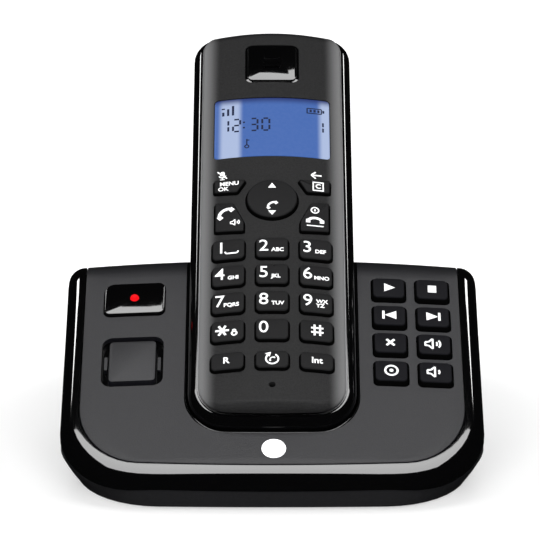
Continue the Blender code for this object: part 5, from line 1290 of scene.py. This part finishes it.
@dataclass
class HandsetShells:
    """Front and rear shell of the handset, the trim between them and the battery door."""

    sizes: HandSizes
    screw: Point = (0.0145, 0.010)
    peg: Point = (0.0155, 0.140)
    door_half: float = 0.0165
    door: Point = (0.074, 0.145)
    door_thickness: float = 0.0015
    tray: Point = (0.0831, 0.1276)
    tray_half: float = 0.01075

    def build(self) -> None:
        """Makes every shell."""
        self.build_front()
        self.build_trim()
        self.build_rear()
        self.build_door()

    def face_share(self, share: float) -> Height:
        """The height this share of the way from the seam up to the face."""
        sizes = self.sizes
        seam = sizes.seam + sizes.trim + GAP
        return lambda x, s: seam + (sizes.face(x) - seam) * share

    def build_front(self) -> None:
        """The matte crowned face."""
        sizes = self.sizes
        levels: list[Level] = []
        for step in range(9):
            turn = math.pi / 2 * step / 8
            inset, height = (1 - math.sin(turn)), 0.35 + 0.65 * math.cos(turn)
            side = sizes.side_inset + sizes.round_side * 1.6 * inset
            ends = sizes.end_inset + sizes.round_end * inset
            levels.append((sizes.rows(side, ends), self.face_share(height)))
        edge = sizes.rows(sizes.side_inset, sizes.end_inset)
        lip = sizes.rows(sizes.side_inset + 0.0011, sizes.end_inset + 0.0011)
        seam = sizes.seam + sizes.trim + GAP
        levels += [(edge, flat(seam)), (lip, flat(seam)), (lip, flat(0.0016))]
        shell = BENCH.layers(levels, HAND)
        side = sizes.side_inset + 0.0011 + sizes.wall
        ends = sizes.end_inset + 0.0011 + sizes.wall
        hollow = [
            (sizes.rows(side, ends + sizes.round_end / 2), over(sizes.face, -sizes.wall)),
            (sizes.rows(side, ends), over(sizes.face, -sizes.wall * 1.5)),
            (sizes.rows(side, ends), flat(-0.0004)),
        ]
        BENCH.change(shell, [BENCH.layers(hollow, HAND)])
        half, near, far = sizes.display
        rows = Outline(half + GAP, near - GAP, far + GAP, (0.0015, 0.0015), (0.0015, 0.0015), steps=5).rows()
        recess = [(rows, flat(sizes.face_top + OVERRUN)), (rows, over(sizes.face, -0.0009))]
        BENCH.change(shell, [BENCH.layers(recess, HAND)])
        floor = sizes.face(0.00845) - 0.0005
        ear = rounded(sizes.ear, (0.0169, 0.0162), 0.0024)
        BENCH.change(shell, [BENCH.prism(ear, floor, sizes.face_top + OVERRUN, HAND)])
        high = sizes.face_top + OVERRUN
        holes = [BENCH.prism(offset(key.outline, GAP), 0.0016, high, HAND) for key in face_keys()]
        holes.append(BENCH.prism(circle(sizes.nav, sizes.nav_radius + 0.0005, 48), 0.0016, high, HAND))
        holes.append(BENCH.prism(circle((0.0, 0.0106), 0.001), 0.0016, high, HAND))
        holes.append(BENCH.prism(circle(sizes.ear, 0.003), 0.0016, high, HAND))
        middle = (0.0, (near + far) / 2)
        holes.append(BENCH.prism(rounded(middle, (2 * half - 0.0036, far - near - 0.0036), 0.0012),
                                 0.0016, high, HAND))
        BENCH.change(shell, holes)
        BENCH.finish(
            shell, "matte_face", Look.FACE, Body.HANDSET, Slot.CHARCOAL, ["handset_front_shell"], angle=40.0
        )

    def build_trim(self) -> None:
        """The bright band between the shells."""
        sizes = self.sizes
        side, ends = sizes.shoulder + 0.0005, sizes.end_inset - 0.0005
        low, high = sizes.seam, sizes.seam + sizes.trim
        outer, inner = sizes.rows(side, ends), sizes.rows(side + 0.0012, ends + 0.0012)
        soft = sizes.rows(side + 0.0001, ends + 0.0001)
        rings = [
            (ring_of(outer), flat(low + 0.0001)), (ring_of(outer), flat(high - 0.0001)),
            (ring_of(soft), flat(high)), (ring_of(inner), flat(high)), (ring_of(inner), flat(low)),
            (ring_of(soft), flat(low)),
        ]
        BENCH.finish(
            BENCH.hoop(rings, HAND), "bright_band", Look.TRIM, Body.HANDSET, Slot.TRIM, ["handset_trim_band"]
        )

    def rear_levels(self) -> list[Level]:
        """Levels of the full outer form of the rear."""
        sizes = self.sizes
        top = sizes.seam - GAP
        shoulder = [
            (sizes.rows(sizes.shoulder * inset, sizes.shoulder * inset), flat(top * height))
            for height, inset in sizes.shoulder_curve
        ]
        return shoulder + sizes.rear()

    def build_rear(self) -> None:
        """The gloss rear shell with its battery bay."""
        sizes = self.sizes
        shell = BENCH.layers(self.rear_levels(), HAND)
        mouth = sizes.shoulder + 0.0012
        levels: list[Level] = [(sizes.rows(mouth, mouth), flat(sizes.seam + OVERRUN))]
        levels.append((sizes.rows(mouth, mouth), flat(sizes.seam / 2)))
        for depth, inset in ((0.0, 0.0), *sizes.curve):
            side, ends = 0.002 + (sizes.taper[0] - 0.0015) * inset, 0.002 + (sizes.taper[1] - 0.0015) * inset
            levels.append((sizes.rear_rows(side, ends), flat(-(sizes.depth - 0.0015) * depth)))
        BENCH.change(shell, [BENCH.layers(levels, HAND)])
        half = self.door_half + 0.0014
        near, far = self.door
        seat = sizes.depth - self.door_thickness - GAP
        BENCH.change(
            shell, [BENCH.box((-half, half), (near - 0.0028, far + 0.0014), (-sizes.depth + 0.0012,
                                                                             -seat + 0.0015), HAND)],
            "UNION",
        )
        wall, ceiling = 0.0015, 0.0024
        half = self.tray_half + wall
        walls = (self.tray[0] - GAP - wall, self.tray[1] + GAP + wall)
        BENCH.change(shell, [BENCH.box((-half, half), walls, (-seat - GAP, -ceiling + wall), HAND)], "UNION")
        posts = [
            BENCH.turned((side * x, s), [(0.0032, -0.0006), (0.0032, -0.0125)], HAND, 24)
            for x, s in (self.screw, self.peg) for side in (-1, 1)
        ]
        for post in posts:
            BENCH.change(shell, [post], "UNION")
        half = self.tray_half
        span = (self.tray[0] - GAP, self.tray[1] + GAP)
        BENCH.change(shell, [BENCH.box((-half, half), span, (-sizes.depth - OVERRUN, -ceiling), HAND)])
        half = self.door_half + GAP
        recess = BENCH.box((-half, half), (near - GAP, 0.1575), (-sizes.depth - OVERRUN * 2, -seat), HAND)
        BENCH.change(shell, [recess])
        openings = []
        for side in (-1, 1):
            profile = [(0.0013, 0.0013), (0.0013, -0.009), (0.0023, -0.009), (0.0023, -0.017)]
            openings.append(BENCH.turned((side * self.screw[0], self.screw[1]), profile, HAND, 24))
            pad = rounded((side * sizes.contact_x, sizes.contact_s), (0.0056, 0.0076), 0.0006, 3)
            openings.append(BENCH.prism(pad, -0.017, -0.0115, HAND))
        for slot in range(5):
            outline = rounded((0.0, 0.044 + (slot - 2) * 0.003), (0.010, 0.0012), 0.0006)
            openings.append(BENCH.prism(outline, -0.017, -0.0115, HAND))
        BENCH.change(shell, openings)
        BENCH.finish(shell, "gloss_rear", Look.GLOSS, Body.HANDSET, Slot.GLOSS, ["handset_rear_shell"])

    def build_door(self) -> None:
        """The sliding battery door."""
        sizes = self.sizes
        door = BENCH.layers(self.rear_levels(), HAND)
        blank = BENCH.box(
            (-self.door_half, self.door_half), self.door,
            (-sizes.depth - OVERRUN, -sizes.depth + self.door_thickness), HAND,
        )
        BENCH.change(door, [blank], "INTERSECT")
        ribs = [BENCH.box((-0.006, 0.006), (s, s + 0.0008), (-0.0154, -sizes.depth + 0.0002), HAND)
                for s in (0.080, 0.0825, 0.085, 0.0875)]
        BENCH.change(door, ribs, "UNION")
        BENCH.finish(door, "gloss_door", Look.GLOSS, Body.DOOR, Slot.GLOSS, ["battery_door"])


@dataclass(frozen=True)
class FaceKey:
    """A key of the handset: its name, centre, outline and print."""

    name: str
    centre: Point
    outline: list[Point]
    marks: tuple[Mark, ...]


def figure(text: str, letters: str = "") -> tuple[Mark, ...]:
    """A numeral on the left with small letters beside it."""
    marks: list[Mark] = [Words(text, 0.0061, (-0.0040, 0.0003), 0.003, "LEFT")]
    starts = {"MNO": -0.0006, "PQRS": -0.0013, "WX YZ": 0.0}
    lines = letters.split()
    for number, line in enumerate(lines):
        drop = -0.0011 if len(lines) == 1 else 0.0003 - 0.0016 * number
        marks.append(Words(line, 0.0019, (starts.get(letters, -0.0002), drop), 0.03, "LEFT"))
    return tuple(marks)


def message_bracket() -> tuple[Mark, ...]:
    """The numeral one with a flat bracket beside it."""
    points = [(-0.0011, -0.0011), (-0.0007, -0.0018), (0.0025, -0.0018), (0.0029, -0.0011)]
    return (Words("1", 0.0061, (-0.0037, 0.0003), 0.003, "LEFT"), *stroke(points, 0.0005))


def star_marks() -> tuple[Mark, ...]:
    """A star of three bars and a small padlock."""
    shapes: list[Mark] = []
    for turn in (0, 60, 120):
        x, y = 0.0020 * math.cos(math.radians(turn)), 0.0020 * math.sin(math.radians(turn))
        shapes += stroke([(-0.0016 - x, -y), (-0.0016 + x, y)], 0.0007)
    shapes += [*ring(0.0019, -0.0013, 0.0007, 0.0005), arc(0.0019, -0.0004, 0.0005, 0.0003, 0, 180)]
    return tuple(shapes)


def face_keys() -> list[FaceKey]:
    """All the press keys of the handset."""
    size, pitch, corner = (0.0098, 0.0079), 0.0129, 0.0016
    marks = {
        "number_key_1": message_bracket(),
        "number_key_2": figure("2", "ABC"),
        "number_key_3": figure("3", "DEF"),
        "number_key_4": figure("4", "GHI"),
        "number_key_5": figure("5", "JKL"),
        "number_key_6": figure("6", "MNO"),
        "number_key_7": figure("7", "PQRS"),
        "number_key_8": figure("8", "TUV"),
        "number_key_9": figure("9", "WX YZ"),
        "star_key": star_marks(),
        "number_key_0": figure("0"),
        "hash_key": (*stroke([(-0.0006, -0.0020), (-0.0006, 0.0020)], 0.0006),
                     *stroke([(0.0010, -0.0020), (0.0010, 0.0020)], 0.0006),
                     *stroke([(-0.0016, 0.0008), (0.0020, 0.0008)], 0.0006),
                     *stroke([(-0.0016, -0.0008), (0.0020, -0.0008)], 0.0006)),
        "recall_key": (Words("R", 0.0031, (-0.0004, 0.0), 0.025),),
        "redial_key": (arc(0.0, -0.0001, 0.0018, 0.0005, 130, 290),
                       Shape(((-0.0021, 0.0019), (-0.0003, 0.0024), (-0.0007, 0.0007))),
                       *receiver(0.0, -0.0001, 0.0017, 42)),
        "intercom_key": (Words("Int", 0.0030, (0.0, 0.0), 0.02),),
    }
    keys = []
    names = list(marks)
    for row, s in enumerate((0.0616, 0.05135, 0.0410, 0.0304, 0.0191)):
        for column in range(3):
            name = names[row * 3 + column]
            place = ((column - 1) * pitch, s)
            key_size = size if row < 4 else (size[0], 0.0064)
            keys.append(FaceKey(name, place, rounded(place, key_size, corner), marks[name]))
    soft = ((0.0176, 0.0898), (0.0077, 0.0888), (0.0104, 0.0840), (0.0175, 0.0845))
    call = ((0.0172, 0.0805), (0.0118, 0.0802), (0.0083, 0.0721), (0.0083, 0.0683), (0.0171, 0.0689))
    box = [bar(0.0006, -0.0019, 0.0034, 0.0004), bar(0.0006, 0.0013, 0.0034, 0.0004),
           bar(-0.0009, -0.0003, 0.0004, 0.0029), bar(0.0021, -0.0003, 0.0004, 0.0029),
           Words("C", 0.0024, (0.0006, -0.0003), 0.03)]
    hung = [*receiver(0.0003, -0.0015, 0.0044, 0), *ring(0.0003, 0.0028, 0.0011, 0.0004),
            bar(0.0003, 0.0028, 0.0005, 0.0008), bar(0.0003, -0.0034, 0.0050, 0.0004)]
    talk = [*receiver(-0.0014, 0.0016, 0.0048, 42), *loudspeaker(0.0014, -0.0022, 0.0025, 2)]
    menu = [Words("MENU", 0.0021, (0.0004, 0.0007), 0.025), Words("OK", 0.0021, (-0.0014, -0.0013), 0.025)]
    for points, left, right, left_marks, right_marks in (
        (soft, "left_soft_key", "right_soft_key", menu, box),
        (call, "talk_key", "end_key", talk, hung),
    ):
        outline = softened(points, 0.0007)
        centre = tuple(sum(axis) / len(points) for axis in zip(*points))
        keys.append(FaceKey(right, centre, outline, tuple(right_marks)))
        keys.append(FaceKey(left, (-centre[0], centre[1]), swapped(outline), tuple(left_marks)))
    return keys


@dataclass
class HandsetFace:
    """Keys, display and earpiece of the handset."""

    sizes: HandSizes

    def build(self) -> None:
        """Makes the controls and prints their marks."""
        for key in face_keys():
            self.build_key(key)
        self.build_navigation()
        self.build_display()
        self.build_ear()
        face = over(self.sizes.face, 0.00001)
        arrow = [*stroke([(0.0002, 0.0), (0.0032, 0.0)], 0.0005),
                 *stroke([(0.0014, 0.0013), (0.0001, 0.0), (0.0014, -0.0013)], 0.0005)]
        print_marks("back_arrow", arrow, (0.0118, 0.0921), face, HAND, Body.HANDSET)
        microphone = [disc(0.0, 0.0008, 0.0007), bar(0.0, 0.0003, 0.0014, 0.0010), bar(0.0, -0.0012,
                                                                                       0.0004, 0.0010),
                      arc(0.0, 0.0002, 0.0011, 0.0003, 200, 140), bar(0.0, -0.0017, 0.0014, 0.0003),
                      *stroke([(-0.0015, 0.0016), (0.0014, -0.0014)], 0.0004)]
        print_marks("mute_sign", microphone, (-0.0150, 0.0923), face, HAND, Body.HANDSET)

    def build_key(self, key: FaceKey) -> None:
        """One raised key with its print."""
        sizes = self.sizes
        hold = -sizes.wall - GAP
        top = sizes.tangent(key.centre[0], sizes.key_rise)
        rings = [
            (offset(key.outline, -0.0006), top),
            (offset(key.outline, -0.0004), sizes.tangent(key.centre[0], sizes.key_rise - 0.00005)),
            (offset(key.outline, -0.00025), sizes.tangent(key.centre[0], sizes.key_rise - 0.0002)),
            (key.outline, over(sizes.face, 0.0)),
            (key.outline, over(sizes.face, hold)),
            (offset(key.outline, 0.0007), over(sizes.face, hold)),
            (offset(key.outline, 0.0007), over(sizes.face, hold - 0.0008)),
        ]
        BENCH.finish(BENCH.stack(rings, HAND), f"{key.name}_cap", Look.HAND_KEY, key.name, Slot.KEY,
                     [key.name])
        surface = sizes.tangent(key.centre[0], sizes.key_rise + 0.00001)
        print_marks(f"{key.name}_print", key.marks, key.centre, surface, HAND, key.name)
        if key.name == "number_key_5":
            place = (key.centre[0] + 0.0006, key.centre[1] + 0.0030)
            height = sizes.face_top + sizes.key_rise
            nub = BENCH.turned(place, [(0.0002, height + 0.0003), (0.0004, height + 0.0001), (0.0004,
                height - 0.0002)], HAND, 16)
            BENCH.finish(nub, "number_key_5_nub", Look.HAND_KEY, key.name, Slot.KEY)

    def build_navigation(self) -> None:
        """The round rocking key."""
        sizes = self.sizes
        top = sizes.face_top + sizes.key_rise
        radius = sizes.nav_radius
        low = sizes.face_top - sizes.wall - 0.0008
        profile = [
            (radius - 0.0007, top), (radius - 0.0004, top - 0.00005), (radius - 0.0002, top - 0.0002),
            (radius, top - 0.0008), (radius, low), (radius + 0.001, low),
            (radius + 0.001, low - 0.0005), (0.0015, low - 0.0005), (0.0015, low - 0.0011),
        ]
        key = BENCH.turned(sizes.nav, profile, HAND, 64)
        BENCH.finish(key, "navigation_cap", Look.HAND_KEY, "navigation_key", Slot.KEY, ["navigation_key"])
        marks = [
            Shape(((-0.0012, 0.0041), (0.0012, 0.0041), (0.0, 0.0060))),
            Shape(((-0.0012, -0.0051), (0.0, -0.0068), (0.0012, -0.0051))),
            *receiver(0.0, -0.0029, 0.0032, 42),
        ]
        print_marks("navigation_print", marks, sizes.nav, flat(top + 0.00001), HAND, "navigation_key")

    def build_display(self) -> None:
        """The blue display and what it shows."""
        sizes = self.sizes
        half, near, far = sizes.display
        outline = Outline(half, near, far, (0.0012, 0.0012), (0.0012, 0.0012), steps=5)
        levels = [
            (outline.grown(-0.0002).rows(), over(sizes.face, 0.0)),
            (outline.rows(), over(sizes.face, -0.0001)),
            (outline.rows(), over(sizes.face, -0.0006)),
        ]
        look = BacklitFinish()
        BENCH.finish(BENCH.layers(levels, HAND), "blue_display", look, Body.HANDSET, Slot.LENS,
                     ["display_lens"])
        marks: list[Mark] = [bar(-0.0150 + 0.0015 * step, 0.0061 + 0.0006 * step, 0.0007,
                                 0.0016 + 0.0012 * step)
                             for step in range(3)]
        marks += [bar(-0.0150, 0.0083, 0.0010, 0.0005)]
        marks += [*stroke([(0.0108, 0.0062), (0.0152, 0.0062), (0.0152, 0.0082), (0.0108, 0.0082),
                           (0.0108, 0.0060)], 0.0004),
                  bar(0.0158, 0.0072, 0.0006, 0.0011)]
        marks += [bar(0.0119 + 0.0012 * step, 0.0072, 0.0007, 0.0011) for step in range(3)]
        marks += segment_text("12:30", (-0.0159, 0.0009), 0.0028, 0.0056)
        marks += segment_text("1", (0.0135, 0.0006), 0.0024, 0.0050)
        marks += [*ring(-0.0077, -0.0081, 0.0006, 0.0004), bar(-0.0077, -0.0063, 0.0004, 0.0026),
                  bar(-0.0073, -0.0055, 0.0008, 0.0004)]
        surface = over(sizes.face, 0.00001)
        print_marks("display_segments", marks, (0.0, (near + far) / 2), surface, HAND, Body.HANDSET,
                    Look.SEGMENT, thickness=0.00002)

    def build_ear(self) -> None:
        """The gloss earpiece panel with its sound slots."""
        sizes = self.sizes
        outline = rounded(sizes.ear, (0.0151, 0.0148), 0.0016)
        frame_edge = rounded(sizes.ear, (0.0166, 0.0159), 0.0022)
        top = sizes.face_top + 0.00035
        rings = [
            (offset(outline, -0.0003), flat(top)),
            (offset(outline, -0.0001), flat(top - 0.00006)),
            (outline, flat(top - 0.0002)),
            (outline, flat(top - 0.0006)),
            (frame_edge, over(sizes.face, -0.00005)),
            (frame_edge, flat(sizes.face(0.00845) - 0.0002)),
        ]
        cover = BENCH.stack(rings, HAND)
        slots = [BENCH.prism(rounded((0.0, sizes.ear[1] + step * 0.0018), (0.0052, 0.0008), 0.0004),
                             0.004, 0.010, HAND)
                 for step in (-1, 0, 1)]
        BENCH.change(cover, slots)
        BENCH.finish(cover, "gloss_ear_panel", Look.GLOSS, Body.HANDSET, Slot.GLOSS, ["earpiece_cover"])


SEGMENTS = {
    "0": "abcdef", "1": "bc", "2": "abged", "3": "abgcd", "4": "fgbc",
    "5": "afgcd", "6": "afgedc", "7": "abc", "8": "abcdefg", "9": "abcdfg",
}


def segment_text(text: str, start: Point, width: float, height: float) -> list[Shape]:
    """Seven-segment digits, with the text's left edge and middle line at the start point."""
    line = width * 0.22
    shapes = []
    x = start[0]
    for letter in text:
        if letter == ":":
            shapes += [bar(x, start[1] + height * 0.2, line, line), bar(x, start[1] - height * 0.2,
                                                                        line, line)]
            x += width * 0.6
            continue
        cx, y, w, h = x + width / 2, start[1], width / 2 - line / 2, height / 2 - line / 2
        strokes = {
            "a": ((cx, y + h), True), "g": ((cx, y), True), "d": ((cx, y - h), True),
            "f": ((cx - w, y + h / 2), False), "b": ((cx + w, y + h / 2), False),
            "e": ((cx - w, y - h / 2), False), "c": ((cx + w, y - h / 2), False),
        }
        for name in SEGMENTS[letter]:
            (sx, sy), level = strokes[name]
            size = (width - 2.2 * line, line) if level else (line, height / 2 - 1.6 * line)
            shapes.append(bar(sx, sy, *size))
        x += width * 1.3
    return shapes


@dataclass
class InnerParts:
    """Parts that keep their CAD shape and get a finish."""

    looks: dict[str, tuple[Finish, Slot]] = field(default_factory=lambda: {
        "base_key_board": (Look.BOARD, Slot.BOARD),
        "base_main_board": (Look.BOARD, Slot.BOARD),
        "handset_circuit_board": (Look.BOARD, Slot.BOARD),
        "base_keypad_mat": (Look.RUBBER, Slot.RUBBER),
        "handset_keypad_mat": (Look.RUBBER, Slot.RUBBER),
        "front_foot": (Look.RUBBER, Slot.RUBBER),
        "rear_foot": (Look.RUBBER, Slot.RUBBER),
        "base_loudspeaker": (Look.STEEL, Slot.STEEL),
        "earpiece_speaker": (Look.STEEL, Slot.STEEL),
        "hands_free_speaker": (Look.STEEL, Slot.STEEL),
        "left_base_screw": (Look.STEEL, Slot.STEEL),
        "right_base_screw": (Look.STEEL, Slot.STEEL),
        "left_handset_screw": (Look.STEEL, Slot.STEEL),
        "right_handset_screw": (Look.STEEL, Slot.STEEL),
        "charge_pin_block": (Look.GOLD, Slot.GOLD),
        "handset_charge_contacts": (Look.GOLD, Slot.GOLD),
        "battery_pack": (Look.CELL, Slot.CELL),
        "display_module": (Look.MODULE, Slot.MODULE),
        "line_socket": (Look.SATIN, Slot.SATIN),
    })

    def dress(self) -> None:
        """Gives each CAD node its finish."""
        for name, (look, slot) in self.looks.items():
            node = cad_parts[name]
            for material_slot in node.material_slots:
                material_slot.material = look.material()
            log.info("%s: %s", name, look.name)


@dataclass(frozen=True)
class Lamp:
    """An area light: where it hangs, what it points at, its size, radiance and what sees it."""

    name: str
    at: tuple[float, float, float]
    aim: tuple[float, float, float]
    size: Point
    radiance: float
    diffuse: bool = True
    glossy: bool = True

    def light(self) -> None:
        """Hangs the light."""
        data = bpy.data.lights.new(self.name, "AREA")
        data.shape = "RECTANGLE"
        data.size, data.size_y = self.size
        data.energy = self.radiance * math.pi * self.size[0] * self.size[1]
        lamp = bpy.data.objects.new(self.name, data)
        bpy.context.scene.collection.objects.link(lamp)
        lamp.location = self.at
        lamp.rotation_mode = "QUATERNION"
        lamp.rotation_quaternion = (Vector(self.aim) - Vector(self.at)).to_track_quat("-Z", "Y")
        lamp.visible_diffuse = self.diffuse
        lamp.visible_glossy = self.glossy


@dataclass
class Studio:
    """Camera, floor, surroundings and lights."""

    camera_at: tuple[float, float, float] = (-0.000622, -0.94070, 0.25518)
    camera_tilt: float = math.radians(78)
    lens: float = 213.33
    lamps: tuple[Lamp, ...] = (
        Lamp("front_fill", (0.0, -1.9, 0.75), (0.0, 0.0, 0.05), (1.6, 0.9), 14.0, glossy=False),
        Lamp("overhead_fill", (0.0, -0.3, 1.6), (0.0, 0.0, 0.0), (1.2, 1.2), 2.5, glossy=False),
        Lamp("overhead_box", (0.0, -0.30, 1.2), (0.0, -0.30, 0.0), (1.4, 0.66), 6.4, diffuse=False),
        Lamp("left_streak", (-0.61, 0.34, 0.87), (-0.61, 0.34, 0.0), (0.20, 0.24), 16.0, diffuse=False),
        Lamp("right_streak", (0.61, 0.34, 0.87), (0.61, 0.34, 0.0), (0.20, 0.24), 16.0, diffuse=False),
    )
    ambient: float = 0.15
    reflected: float = 0.006
    shadow_zone: Point = (0.005, 0.030)

    def build(self) -> None:
        """Sets up the studio."""
        self.build_camera()
        self.build_floor()
        self.build_world()
        for lamp in self.lamps:
            lamp.light()
        scene = bpy.context.scene
        scene.view_settings.view_transform = "Standard"
        scene.render.resolution_percentage = 100

    def build_camera(self) -> None:
        """The camera of the photograph."""
        data = bpy.data.cameras.new("camera")
        data.lens = self.lens
        data.sensor_width = 36.0
        camera = bpy.data.objects.new("camera", data)
        bpy.context.scene.collection.objects.link(camera)
        camera.location = self.camera_at
        camera.rotation_euler = (self.camera_tilt, 0.0, 0.0)
        bpy.context.scene.camera = camera

    def build_floor(self) -> None:
        """A white floor that gloss surfaces don't mirror; its glow is halved near the object, painted shade
        that deepens the shadow there.
        """
        BENCH.start()
        bpy.ops.mesh.primitive_plane_add(size=40.0)
        floor = bpy.context.object
        floor.name = "floor"
        graph = Graph("floor_white")
        graph.set("Base Color", (0.5, 0.5, 0.5, 1.0))
        graph.set("Roughness", 0.9)
        graph.set("Specular IOR Level", 0.0)
        x, y, _ = graph.axes(graph.place())
        # painted shade: the floor's glow is halved near the object
        share = graph.remap(x * x + y * y, self.shadow_zone, (0.0, 1.0))
        graph.set("Emission Color", graph.blend(share, opaque((0.5, 0.5, 0.5)), opaque((1.0, 1.0, 1.0))))
        graph.set("Emission Strength", 1.0)
        floor.data.materials.append(graph.material)
        floor.visible_glossy = False
        floor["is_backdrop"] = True

    def build_world(self) -> None:
        """White for the camera, soft light for the rest, and dark in reflections."""
        world = bpy.data.worlds.new("surroundings")
        bpy.context.scene.world = world
        world.use_nodes = True
        tree = world.node_tree
        background = tree.nodes["Background"]
        background.inputs["Color"].default_value = (1.0, 1.0, 1.0, 1.0)
        path = tree.nodes.new("ShaderNodeLightPath")
        glossy = tree.nodes.new("ShaderNodeMix")
        glossy.inputs[2].default_value = self.ambient
        glossy.inputs[3].default_value = self.reflected
        tree.links.new(path.outputs["Is Glossy Ray"], glossy.inputs[0])
        seen = tree.nodes.new("ShaderNodeMix")
        seen.inputs[3].default_value = 1.0
        tree.links.new(path.outputs["Is Camera Ray"], seen.inputs[0])
        tree.links.new(glossy.outputs[0], seen.inputs[2])
        tree.links.new(seen.outputs[0], background.inputs["Strength"])


def note_size(entry: str, notes: dict[str, list[list[float]]]) -> None:
    """Adds the shown object's corners to the notes."""
    low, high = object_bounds()
    notes[entry] = [list(low), list(high)]


def main() -> None:
    """Dresses the telephone and sets up the studio."""
    notes: dict[str, list[list[float]]] = {}
    note_size("loaded", notes)
    base, hand = BaseSizes(), HandSizes()
    BaseHousing(base, hand).build()
    BaseControls(base).build()
    HandsetShells(hand).build()
    HandsetFace(hand).build()
    InnerParts().dress()
    Studio().build()
    note_size("dressed", notes)


if __name__ == "__main__":
    main()
